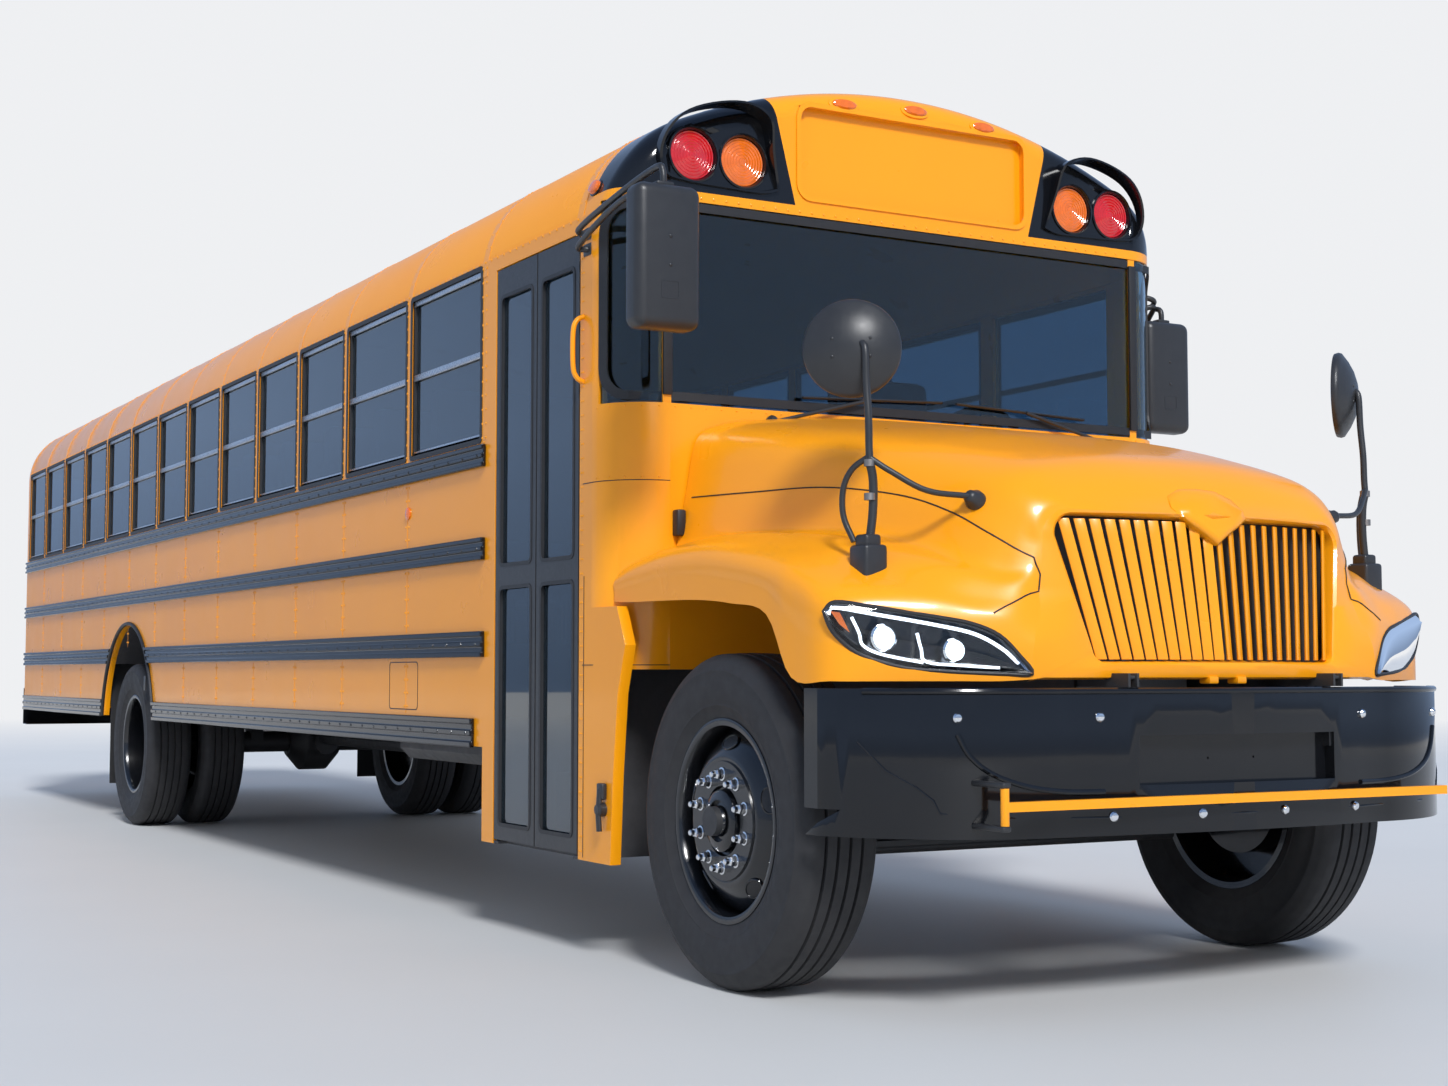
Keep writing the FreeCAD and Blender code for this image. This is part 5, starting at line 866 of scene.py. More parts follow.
def front_x(y, z):
    """The skin's front edge: on the grille's face above, upright below it."""
    share = clamp((z - 1.05) / 0.15)
    return (1 - share) * (FRONT_AXLE_X + 0.930) + share * (grille_x(y, z) - 0.008)


def outline_hit(outline, away):
    """Where a line from the middle of the front face leaves a ring of (y, z) points."""
    for first, second in zip(outline, outline[1:] + outline[:1]):
        start = Vector((first[0], first[1] - FACE_HEIGHT))
        span = Vector(second) - Vector(first)
        turned = away.x * span.y - away.y * span.x
        if abs(turned) < 1e-12:
            continue
        reach = (start.x * span.y - start.y * span.x) / turned
        along = (start.x * away.y - start.y * away.x) / turned
        if reach > 0 and -1e-6 <= along <= 1 + 1e-6:
            return away.x * reach, FACE_HEIGHT + away.y * reach
    raise ValueError("no edge of the outline lies that way")


def hood_surface(sizes):
    """Grid of points of the whole hood and fender skin, rows from rear to front."""
    rows = []
    for row in HOOD:
        half = smooth_path([(0.0, y, z) for y, z in hood_section(row)], 5)
        ring = [Vector((0.0, -p.y, p.z)) for p in reversed(half)] + half[1:]
        line = []
        for p in ring:
            x = sizes.front_axle_x + row[0] - row[1] * (p.y / 0.6) ** 2 * clamp((p.z - 1.15) / 0.2)
            line.append(Vector((front_x(p.y, p.z) if row is HOOD[-1] else x, p.y, p.z)))
        rows.append(line)
    columns = [smooth_path(list(column), 5) for column in zip(*rows)]
    return list(zip(*columns))


def lens_edges(sizes):
    """Upper and lower edge of the left lamp's lens, from its outer tip to its inner one."""
    upper = [(0.652, 1.188, 1.140), (0.668, 1.160, 1.166), (0.715, 1.075, 1.154), (0.761, 0.988, 1.138),
             (0.810, 0.900, 1.122), (0.851, 0.822, 1.105), (0.887, 0.755, 1.072), (0.914, 0.706, 1.015),
             (0.930, 0.676, 0.966)]
    lower = [(0.652, 1.188, 1.140), (0.664, 1.168, 1.085), (0.690, 1.121, 1.033), (0.716, 1.071, 1.006),
             (0.761, 0.988, 0.981), (0.810, 0.900, 0.972), (0.851, 0.822, 0.967), (0.895, 0.740, 0.964),
             (0.930, 0.676, 0.966)]
    return [[Vector((sizes.front_axle_x + x, y, z)) for x, y, z in edge] for edge in (upper, lower)]


LENS_OUT = Vector((0.86, 0.51, 0.0)).normalized()


def lens_point(edges, s, t, depth=0.0, bulge=0.012):
    """A place on the lens: s from the outer to the inner tip, t from the upper to the lower edge."""
    marks = []
    for edge in edges:
        along = clamp(s) * (len(edge) - 1)
        index = min(int(along), len(edge) - 2)
        marks.append(edge[index].lerp(edge[index + 1], along - index))
    return marks[0].lerp(marks[1], t) + LENS_OUT * (4 * bulge * t * (1 - t) - depth)


def make_fascia(edge):
    """The front face between the skin's front edge, the grille's opening and the bumper."""
    bm = bmesh.new()
    count = 40
    foot = []
    for step in range(1, count):
        across = 1 - 2 * step / count
        foot.append(Vector((FRONT_AXLE_X + 0.984 - 0.056 * across ** 2, edge[-1].y * across, 0.955)))
    loop = list(edge) + foot
    outline = grille_outline(0.006, 6)
    rings = [[], [], [], [], []]
    for point in loop:
        away = Vector((point.y, point.z - FACE_HEIGHT)).normalized()
        y, z = outline_hit(outline, away)
        opening = Vector((grille_x(y, z) + 0.002, y, z))
        rings[0].append(point)
        rings[1].append(point.lerp(opening, 0.45) + Vector((0.003, 0, 0)))
        for ring, back, out in ((rings[2], 0.0, 0.010), (rings[3], -0.006, 0.0), (rings[4], -0.040, -0.008)):
            ring.append(opening + Vector((back, away.x * out, away.y * out)))
    first = skin(bm, rings)[0]
    rim = [first[len(edge) - 1]] + first[len(edge):] + [first[0]]
    lip = [bm.verts.new(p + Vector((-0.030, 0, -0.006 if p.z < 0.96 else 0)))
           for p in [edge[-1]] + foot + [edge[0]]]
    for step in range(len(rim) - 1):
        bm.faces.new([rim[step], rim[step + 1], lip[step + 1], lip[step]])
    for side in SIDES:
        block(bm, (6.095, side * 0.055 - 0.018, 0.936), (6.142, side * 0.055 + 0.018, 0.958), 0.005)
    tidy_normals(bm)
    piece("front_fascia", bm, "body_yellow", "hood", "body_yellow", smooth=40)


def inner_skin(grid, depth):
    """The grid moved inwards, square to its surface."""
    rows, columns = len(grid), len(grid[0])
    inner = []
    for i, line in enumerate(grid):
        inner.append(list(line))
        for j, point in enumerate(line):
            across = line[min(j + 1, columns - 1)] - line[max(j - 1, 0)]
            normal = across.cross(grid[min(i + 1, rows - 1)][j] - grid[max(i - 1, 0)][j])
            if normal.length > 1e-9:
                normal.normalize()
                if normal.dot(Vector((0.2, point.y, 0.5))) < 0:
                    normal.negate()
                inner[i][j] = point - normal * depth
    return inner


def make_hood(sizes):
    grid = hood_surface(sizes)
    bm = bmesh.new()
    outer, inner = skin(bm, grid, closed=False), skin(bm, inner_skin(grid, 0.012), closed=False)
    rows, columns = len(grid), len(grid[0])
    for i in range(rows - 1):
        for j in (0, columns - 1):
            bm.faces.new([outer[i][j], outer[i + 1][j], inner[i + 1][j], inner[i][j]])
    for i in (0, rows - 1):
        for j in range(columns - 1):
            bm.faces.new([outer[i][j], outer[i][j + 1], inner[i][j + 1], inner[i][j]])
    tidy_normals(bm)
    tree = BVHTree.FromBMesh(bm)
    hood = piece("hood_skin", bm, "body_yellow", "hood", "body_yellow", ["hood_shell"], smooth=28)
    place = screen_place(sizes)
    ring = [place(-1.8 + 3.6 * step / 60, 0.97, 0.010) for step in range(61)]
    cut_away(hood, prism("cowl_clear", ring, (0, 0, 1.2)))
    for side in SIDES:
        upper, lower = lens_edges(sizes)
        out = Vector((LENS_OUT.x, side * LENS_OUT.y, 0))
        corners = [Vector((p.x, side * p.y, p.z)) - out * 0.15 for p in upper + list(reversed(lower[1:-1]))]
        cut_away(hood, prism("lens_clear", corners, out * 0.4))
    smoothed(hood.data, 28)
    make_fascia(grid[-1])
    lines, pads = bmesh.new(), bmesh.new()
    for side in SIDES:
        def hit(ahead, z):
            start = Vector((sizes.front_axle_x + ahead, side * 2.0, z))
            return tree.ray_cast(start, Vector((0, -side, 0)))

        for marks in HOOD_SEAMS:
            hits = [hit(spot.x, spot.z) for spot in smooth_path([(x, 0, z) for x, z in marks], 8)]
            seam = [spot + normal * 0.0006 for spot, normal, _, _ in hits if spot is not None]
            tube(lines, seam, 0.0024, 6)
        spot = hit(-0.565, 1.475)[0]
        block(pads, spot + Vector((-0.022, min(-0.004, side * 0.030), -0.045)),
              spot + Vector((0.022, max(0.004, side * 0.030), 0.045)), 0.008)
    piece("hood_seams", lines, "gasket", "hood", "black_gloss")
    tidy_normals(pads)
    piece("hood_straps", pads, "gasket", "hood", "mirror_black")


GRILLE_FOOT, GRILLE_RISE, GRILLE_HALF, GRILLE_SPREAD = 1.004, 0.414, 0.466, 0.082
def grille_outline(grow, parts=4):
    """The opening seen from the front as (y, z), wider at the top."""
    corners = []
    for y, z, radius, start in ((0.548, 1.418, 0.055, 0), (-0.548, 1.418, 0.055, 90),
                                (-GRILLE_HALF, GRILLE_FOOT, 0.030, 180),
                                (GRILLE_HALF, GRILLE_FOOT, 0.030, 270)):
        middle_y = y - math.copysign(radius, y)
        middle_z = z - radius if z > FACE_HEIGHT else z + radius
        for step in range(parts + 1):
            turn = math.radians(start + 90 * step / parts)
            corners.append((middle_y + (radius + grow) * math.cos(turn),
                            middle_z + (radius + grow) * math.sin(turn)))
    return corners


def grille_x(y, z):
    """The grille's curved face, leaning forward to its foot."""
    up = (z - GRILLE_FOOT) / GRILLE_RISE
    across = abs(y) / (GRILLE_HALF + GRILLE_SPREAD * up)
    return FRONT_AXLE_X + 0.990 - 0.046 * up - across ** 2 * (0.035 + 0.029 * up)


def make_slats():
    """Upright slats turned outwards on both sides of one in the middle."""
    bm = bmesh.new()
    slats = 22
    for index in range(slats):
        share = (index + 0.5) / slats * 2 - 1
        middle = abs(share) < 0.04
        if middle and share < 0:
            continue
        side = 1.0 if share > 0 else -1.0
        share = 0.0 if middle else share
        wide, back = (0.015, 0.0) if middle else (0.0145, 0.010)
        top = 1.365 if abs(share) < 0.12 else 1.412
        rings = []
        for step in range(9):
            z = 1.006 + (top - 1.006) * step / 8
            y = share * (GRILLE_HALF + GRILLE_SPREAD * (z - GRILLE_FOOT) / GRILLE_RISE - 0.006)
            near, far = y - side * wide, y + side * wide
            x_near, x_far = grille_x(near, z) - 0.006, grille_x(far, z) - 0.006 - back
            rings.append([(x_near, near, z), (x_far, far, z), (x_far - 0.005, far - side * 0.002, z),
                          (x_near - 0.008, near + side * 0.001, z)])
        rings = skin(bm, rings)
        bm.faces.new(rings[0])
        bm.faces.new(rings[-1])
    tidy_normals(bm)
    bevel_edges(bm, 0.0018, 50)
    piece("grille_slats", bm, "body_yellow", "hood", "body_yellow", ["grille"])


def make_grille(sizes):
    make_slats()
    back = bmesh.new()
    heights = [1.0 + 0.43 * row / 6 for row in range(7)]
    reaches = [-0.56 + 1.12 * step / 16 for step in range(17)]
    skin(back, [[(grille_x(y, z) - 0.060, y, z) for y in reaches] for z in heights], closed=False)
    piece("grille_shadow", back, "chassis_black", "hood", "black_gloss")
    tree = mesh_tree(bpy.data.objects["hood_skin"].data)
    boss = bmesh.new()
    outline = [(0.0, 1.520), (0.070, 1.516), (0.125, 1.492), (0.142, 1.455), (0.128, 1.425), (0.085, 1.398),
               (0.040, 1.372), (0.0, 1.344)]
    outline += [(-y, z) for y, z in reversed(outline[1:-1])]
    centre_z, skin_end = 1.440, 1.452
    rings = []
    for grow, lift in ((1.0, -0.030), (1.0, 0.003), (0.90, 0.011), (0.72, 0.014)):
        ring = []
        for y, z in outline:
            a, b = grow * y, centre_z + grow * (z - centre_z)
            spot = tree.ray_cast(Vector((FAR_AHEAD, a, max(b, skin_end))), BACKWARDS)[0]
            x = spot.x if spot is not None else grille_x(a, b)
            if b < skin_end:
                x = max(grille_x(a, b), 6.088 - 0.11 * (b - 1.40))
            ring.append((min(x, 6.150) + lift, a, b))
        rings.append(ring)
    boss.faces.new(skin(boss, rings)[-1])
    tidy_normals(boss)
    piece("nose_boss", boss, "body_yellow", "hood", "body_yellow", smooth=50)


def make_headlights(sizes):
    """Dark pans behind clear lenses, with light strips, guides, two projectors and an amber marker each."""
    edges = lens_edges(sizes)
    shell, pan, strip, beam, amber, rings, gasket = (bmesh.new() for _ in range(7))
    for side in SIDES:
        flip = Matrix.Diagonal((1.0, side, 1.0))

        def at(s, t, depth=0.0):
            return flip @ lens_point(edges, s, t, depth)

        def grid(bm, depth_of):
            skin(bm, [[at(i / 28, j / 10, depth_of(i / 28, j / 10)) for j in range(11)] for i in range(29)],
                 closed=False, turned=side < 0)

        grid(shell, lambda s, t: -0.001)
        grid(shell, lambda s, t: 0.002)
        grid(pan, lambda s, t: 0.004 + 0.060 * (math.sin(math.pi * min(max(s, 0.02), 0.98)) ** 0.45)
             * (math.sin(math.pi * t) ** 0.5 if 0 < t < 1 else 0.0))
        for marks, depth, radius, flat in (
                (((0.055, 0.62), (0.06, 0.25), (0.12, 0.13), (0.30, 0.13), (0.50, 0.13), (0.66, 0.14),
                  (0.80, 0.16), (0.90, 0.22)), 0.012, 0.0085, 0.6),
                (((0.20, 0.32), (0.255, 0.62), (0.30, 0.84), (0.40, 0.88), (0.55, 0.88)), 0.016, 0.0045, 1.0),
                (((0.46, 0.34), (0.51, 0.62), (0.56, 0.86), (0.70, 0.86), (0.84, 0.80)), 0.016, 0.0045, 1.0)):
            tube(strip, smooth_path([at(s, t, depth) for s, t in marks], 5), radius, 8, flat=flat)
        for s, radius in ((0.365, 0.034), (0.625, 0.030)):
            centre = at(s, 0.56, 0.034)
            aim = flip @ (LENS_OUT * 0.35 + Vector((1, 0, 0))).normalized()
            lathe(beam, centre, aim, [(0.72 * radius, 0.0), (0.66 * radius, 0.010), (0.40 * radius, 0.020),
                                      (0.0, 0.024)], 24)
            lathe(rings, centre, aim, [(1.25 * radius, -0.010), (1.25 * radius, 0.006),
                                       (1.05 * radius, 0.010), (0.75 * radius, 0.0)], 28)
        marks = [(0.085, 0.25), (0.150, 0.27), (0.215, 0.72), (0.155, 0.66)]
        front, back = ([amber.verts.new(at(s, t, depth)) for s, t in marks] for depth in (0.018, 0.030))
        amber.faces.new(front)
        for here, after in ((0, 1), (1, 2), (2, 3), (3, 0)):
            amber.faces.new([front[here], back[here], back[after], front[after]])
        upper, lower = edges
        loop = [Vector((p.x, side * p.y, p.z)) for p in upper + list(reversed(lower[1:-1]))]
        tube(gasket, smooth_path(loop + loop[:1], 4)[:-1], 0.006, 8, closed=True)
    tidy_normals(strip, beam, amber, rings)
    piece("lamp_lenses", shell, "clear_lens", "hood", "lamp_clear", ["headlights"], smooth=40)
    piece("lamp_pans", pan, "black_gloss", "hood", "black_gloss")
    piece("lamp_strips", strip, "led_white", "hood", "lamp_clear")
    piece("lamp_beams", beam, "beam_white", "hood", "lamp_clear")
    piece("lamp_rings", rings, "chrome", "hood", "lamp_clear")
    piece("lamp_markers", amber, "amber_lens", "hood", "lamp_amber")
    piece("lamp_gaskets", gasket, "gasket", "hood", "black_gloss")


def on_front(tree, y, z, lift):
    """A place on the front of a mesh, found from ahead and moved forward by lift."""
    spot = tree.ray_cast(Vector((FAR_AHEAD, y, z)), BACKWARDS)[0]
    return (spot if spot is not None else Vector((6.1, y, z))) + Vector((lift, 0, 0))


def make_bumpers(sizes):
    for node, look, slot, width in (("front_bumper", "black_gloss", "black_gloss", 0.006),
                                    ("rear_bumper", "black_gloss", "black_gloss", 0.006),
                                    ("crossing_arm", "body_yellow", "arm_yellow", 0.004),
                                    ("arm_mounts", "satin_black", "black_gloss", 0.004)):
        dress(node, look, slot, width)
    tree = mesh_tree(frame["nodes"]["front_bumper"].data)
    trim, bolts = bmesh.new(), bmesh.new()
    top = [on_front(tree, -1.12 + 2.24 * step / 60, 0.905, -0.004) for step in range(61)]
    tube(trim, [p + Vector((0, 0, 0.012)) for p in top], 0.010)
    sweep = smooth_path([(0, y, z) for y, z in ((0.93, 0.800), (0.90, 0.740), (0.84, 0.690), (0.74, 0.655),
                                                (0.62, 0.640), (0.50, 0.638))])
    ledge = [(1.13, 0.78), (1.08, 0.70), (1.02, 0.655), (0.985, 0.62), (0.97, 0.585), (0.80, 0.572),
             (0.50, 0.566), (0.0, 0.565)]
    for side in SIDES:
        tube(trim, [on_front(tree, side * p.y, p.z, 0.0) for p in sweep], 0.008)
        tube(trim, [on_front(tree, side * y, z, -0.001) for y, z in ledge], 0.004, 8)
        for y, z in ((0.93, 0.845), (0.512, 0.845), (0.470, 0.568), (0.16, 0.568)):
            lathe(bolts, on_front(tree, side * y, z, 0.0), (1, side * 0.25, 0),
                  [(0.014, -0.002), (0.014, 0.004), (0.010, 0.009), (0.0, 0.010)], 16)
    tidy_normals(bolts)
    piece("bumper_trim", trim, "black_gloss", "root", "black_gloss")
    piece("bumper_bolts", bolts, "chrome", "root", "sash_metal")


# ---------------------------------------------------------------- wheels

TYRE = (
    # radius, reach from the middle of the tread
    (0.300, 0.104), (0.314, 0.108), (0.330, 0.119), (0.350, 0.1265), (0.354, 0.1300), (0.360, 0.1300),
    (0.364, 0.1315), (0.400, 0.1385), (0.430, 0.1390), (0.455, 0.1360), (0.459, 0.1375), (0.464, 0.1370),
    (0.468, 0.1335), (0.487, 0.1270), (0.500, 0.1155), (0.509, 0.1040), (0.5125, 0.0960), (0.5130, 0.0680),
    (0.5020, 0.0655), (0.5020, 0.0590), (0.5140, 0.0565), (0.5145, 0.0265), (0.5030, 0.0240),
    (0.5030, 0.0180), (0.5150, 0.0155),
)


RIM = ((0.300, 0.100), (0.312, 0.104), (0.314, 0.112), (0.306, 0.114), (0.292, 0.110), (0.286, 0.100),
       (0.283, 0.080))
DISHED_DISC = ((0.286, 0.062), (0.270, 0.046), (0.215, 0.010), (0.200, 0.002), (0.190, 0.0), (0.110, 0.0),
               (0.104, 0.006), (0.096, 0.010), (0.094, 0.070), (0.086, 0.078), (0.070, 0.082), (0.068, 0.090),
               (0.0, 0.092))
FLAT_DISC = ((0.283, -0.068), (0.274, -0.052), (0.236, -0.024), (0.208, -0.004), (0.196, 0.0),
             (0.184, -0.002), (0.182, 0.004), (0.108, 0.004), (0.104, -0.010), (0.098, -0.012), (0.094, 0.014),
             (0.086, 0.020), (0.064, 0.022), (0.060, 0.010), (0.048, 0.012), (0.044, 0.034), (0.038, 0.040),
             (0.0, 0.042))
FRONT_INSIDE = ((0.300, 0.100), (0.312, 0.104), (0.314, 0.112), (0.292, 0.110), (0.284, 0.09), (0.284, -0.02),
                (0.190, -0.030), (0.190, 0.058), (0.050, 0.060))
REAR_INSIDE = ((0.300, -0.100), (0.300, 0.100), (0.312, 0.104), (0.314, 0.112), (0.292, 0.110), (0.284, 0.09),
               (0.284, 0.0), (0.190, -0.10), (0.190, 0.02), (0.070, 0.03))
STUD_CIRCLE = 0.142875
HAND_HOLES = 0.240
def tyre(bm, x, y, z):
    """One tyre: its half profile, mirrored and turned about its axle."""
    lathe(bm, (x, y, z), (0, 1, 0), [(radius, -reach) for radius, reach in TYRE] + list(reversed(TYRE)), 96)


def wheel_face(bm, nuts, x, y, z, out, disc, dished):
    """Rim, disc, hub and nuts of one wheel, looking outwards along out (+1 or -1)."""
    axis = (0, out, 0)
    barrel = ((0.282, 0.0),) if dished else ()
    plate = DISHED_DISC if dished else FLAT_DISC
    lathe(bm, (x, y, z), axis, [*RIM, *barrel, *((radius, disc + reach) for radius, reach in plate)], 80)
    face, slope, hole_reach = (0.0, 0.60, disc + 0.028) if dished else (0.004, -0.72, disc - 0.026)
    for index in range(10):
        turn = math.radians(18 + 36 * index)
        spot = Vector((x + STUD_CIRCLE * math.cos(turn), y + out * (disc + face),
                       z + STUD_CIRCLE * math.sin(turn)))
        for profile, sides in (([(0.021, 0.0), (0.021, 0.004), (0.0165, 0.005)], 16),
                               ([(0.0165, 0.004), (0.0165, 0.022), (0.013, 0.027), (0.0095, 0.027)], 6),
                               ([(0.0095, 0.026), (0.0095, 0.040), (0.007, 0.043), (0.0, 0.043)], 12)):
            lathe(nuts, spot, axis, profile, sides)
    for index in range(5):
        turn = math.radians(18 + 72 * index)
        place = Vector((x + HAND_HOLES * math.cos(turn), y, z + HAND_HOLES * math.sin(turn)))
        normal = Vector((slope * -math.cos(turn), out, slope * -math.sin(turn))).normalized()
        hole = place + Vector((0, out * hole_reach, 0))
        tangent = Vector((-math.sin(turn), 0, math.cos(turn)))
        inward = normal.cross(tangent).normalized()
        ring = [hole + normal * 0.0015 + 0.040 * math.cos(a) * tangent + 0.026 * math.sin(a) * inward
                for a in turns(24)]
        tube(bm, ring, 0.0035, 6, closed=True)
        # Painted shade: the hand hole isn't cut through; a dark face in the gasket finish stands for the shade seen
        # through it.
        bm.faces.new([bm.verts.new(p + normal * 0.0006) for p in ring]).material_index = 1


def make_wheels(sizes):
    z = sizes.wheel_z
    for side, name in ((-1, "right"), (1, "left")):
        for end, many, x, planes, disc, inside in (
                ("front", "", sizes.front_axle_x, (1.030,), 0.110, FRONT_INSIDE),
                ("rear", "s", sizes.rear_axle_x, (1.060, 0.724), -0.168, REAR_INSIDE)):
            rubber, metal, nuts = bmesh.new(), bmesh.new(), bmesh.new()
            for y in planes:
                tyre(rubber, x, side * y, z)
            wheel_face(metal, nuts, x, side * planes[0], z, side, disc, end == "rear")
            lathe(metal, (x, side * planes[-1], z), (0, -side, 0), inside, 48)
            tidy_normals(rubber, metal, nuts)
            body = f"wheel{many}_{end}_{name}"
            piece(f"tyre_tread_{end}_{name}", rubber, "tyre", body, "tyre_rubber",
                  [f"tyre{many}_{end}_{name}"], smooth=40)
            # The second finish, gasket, is also the painted shade in the hand holes.
            piece(f"wheel_metal_{end}_{name}", metal, ["wheel_black", "gasket"], body, "wheel_paint",
                  [f"rim{many}_{end}_{name}"], smooth=35)
            piece(f"wheel_nuts_{end}_{name}", nuts, "chrome", body, "sash_metal")


def make_chassis(sizes):
    table = (
        # node, finish, slot, rounding
        ("frame_rails", "chassis_black", "chassis_black", 0.002),
        ("front_axle", "chassis_black", "chassis_black", 0.002),
        ("rear_axle", "chassis_black", "chassis_black", 0.0),
        ("engine_block", "cast_grey", "engine_grey", 0.01),
        ("fuel_tank", "chassis_black", "tank_metal", 0.004),
        ("exhaust", "steel", "exhaust_metal", 0.0),
        ("mud_flaps", "gasket", "flap_rubber", 0.002),
        ("knuckle_right", "chassis_black", "chassis_black", 0.0),
        ("knuckle_left", "chassis_black", "chassis_black", 0.0),
        ("tie_rod", "chassis_black", "chassis_black", 0.0),
    )
    for node, look, slot, width in table:
        dress(node, look, slot, width)
    lips = bmesh.new()
    for side in SIDES:
        arc = [Vector((sizes.rear_axle_x + ARCH_RADIUS * math.cos(math.radians(a)),
                       side * (sizes.body_half + 0.006),
                       ARCH_Z + ARCH_RADIUS * math.sin(math.radians(a)))) for a in range(9, 172, 3)]
        tube(lips, arc, 0.012, 8)
    piece("arch_lips", lips, "gasket", "root", "black_gloss")


# ---------------------------------------------------------------- doors, arms, mirrors and lamps

def make_doors(sizes):
    for node in ("door_leaf_front", "door_leaf_rear"):
        dress(node, "satin_black", "door_black", 0.004)
    dress("rear_door", "body_yellow", "body_yellow", 0.004)
    for leaf, rear, front in (("entry_leaf_rear", 3.576, 3.859), ("entry_leaf_front", 3.951, 4.221)):
        bm = bmesh.new()
        for low, high in ((0.407, 1.285), (1.375, 2.390)):
            edging(bm, (rear, front, low, high), 0.010, 0.004, (0.03, 0.02), side_place(-1, sizes), 0.002)
        tidy_normals(bm)
        piece(f"{leaf}_gasket", bm, "gasket", leaf, "black_gloss")
    handle = bmesh.new()
    tube(handle, smooth_path([(REAR_X, 0.36, 1.72), (-6.115, 0.36, 1.72), (-6.118, 0.30, 1.72),
                              (-6.118, 0.22, 1.72), (REAR_X, 0.21, 1.72)]), 0.009)
    piece("rear_door_handle", handle, "satin_black", "emergency_door", "mirror_black")


def make_arms(sizes):
    dress("stop_arm", "sign_red", "sign_red", 0.001)
    bm = bmesh.new()
    outline = [math.radians(22.5 + 45 * index) for index in range(8)]
    outer, inner = ([(STOP_X + reach * math.cos(a), STOP_Z + reach * math.sin(a)) for a in outline]
                    for reach in (0.2435 * 0.985, 0.2435 * 0.90))
    band(bm, outer, inner, lambda x, z, out: Vector((x, STOP_FACE_Y + out, z)), 0.001)
    tidy_normals(bm)
    piece("stop_border", bm, "white_edge", "stop_sign", "sign_red")
    lamps = bmesh.new()
    for z in (STOP_Z + 0.125, STOP_Z - 0.125):
        lathe(lamps, (STOP_X, STOP_FACE_Y, z), (0, 1, 0),
              [(0.045, 0), (0.045, 0.006), (0.030, 0.012), (0, 0.014)], 24)
    piece("stop_lamps", lamps, "red_lens", "stop_sign", "lamp_red")


def make_side_mirrors(glass):
    """Flat mirrors on paired arms from the front corners of the body."""
    cases = bmesh.new()
    for side, x, z in ((-1, 5.110, 2.250), (1, 4.390, 2.165)):
        y = side * 1.335
        block(cases, (x - 0.052, y - 0.113, z - 0.226), (x + 0.054, y + 0.113, z + 0.226), 0.034, segments=5)
        top = z + 0.226
        for lift, ahead in ((0.0, 0.0), (-0.055, -0.030)):
            roof = min(top + 0.070 + lift, 2.545 + lift)
            tube(cases, smooth_path([
                (4.330, side * 1.218, 2.490 + lift), (4.350, side * 1.262, 2.500 + lift),
                (0.55 * x + 0.45 * 4.35, side * 1.315, 0.5 * roof + 1.255), (x - 0.05 + ahead, y, roof),
                (x + ahead, y, roof - 0.02), (x + ahead + 0.004, y, top - 0.02)]), 0.011)
        for foot in (2.490, 2.435):
            block(cases, (4.300, side * 1.2195 - 0.004, foot - 0.022),
                  (4.360, side * 1.2195 + 0.010, foot + 0.022), 0.004)
        face = x + 0.0535
        band(cases, rounded(y - 0.032, y + 0.032, z - 0.135, z - 0.078, 0.008),
             rounded(y - 0.028, y + 0.028, z - 0.131, z - 0.082, 0.006), cross_place(face), 0.0015)
        block(cases, (x - 0.018, y - 0.030, top - 0.004), (x + 0.022, y + 0.030, top + 0.012), 0.005)
        rivets(cases, [((face, y, z + height), (1, 0, 0)) for height in (0.06, -0.03)], 0.007)
        band(glass, rounded(y - 0.085, y + 0.085, z - 0.195, z + 0.195, 0.03),
             rounded(y - 0.001, y + 0.001, z - 0.001, z + 0.001, 0.0005), cross_place(x - 0.0525, -1), 0.0005)
    tidy_normals(cases)
    piece("side_mirrors", cases, "satin_black", "root", "mirror_black", ["mirrors"], smooth=40)


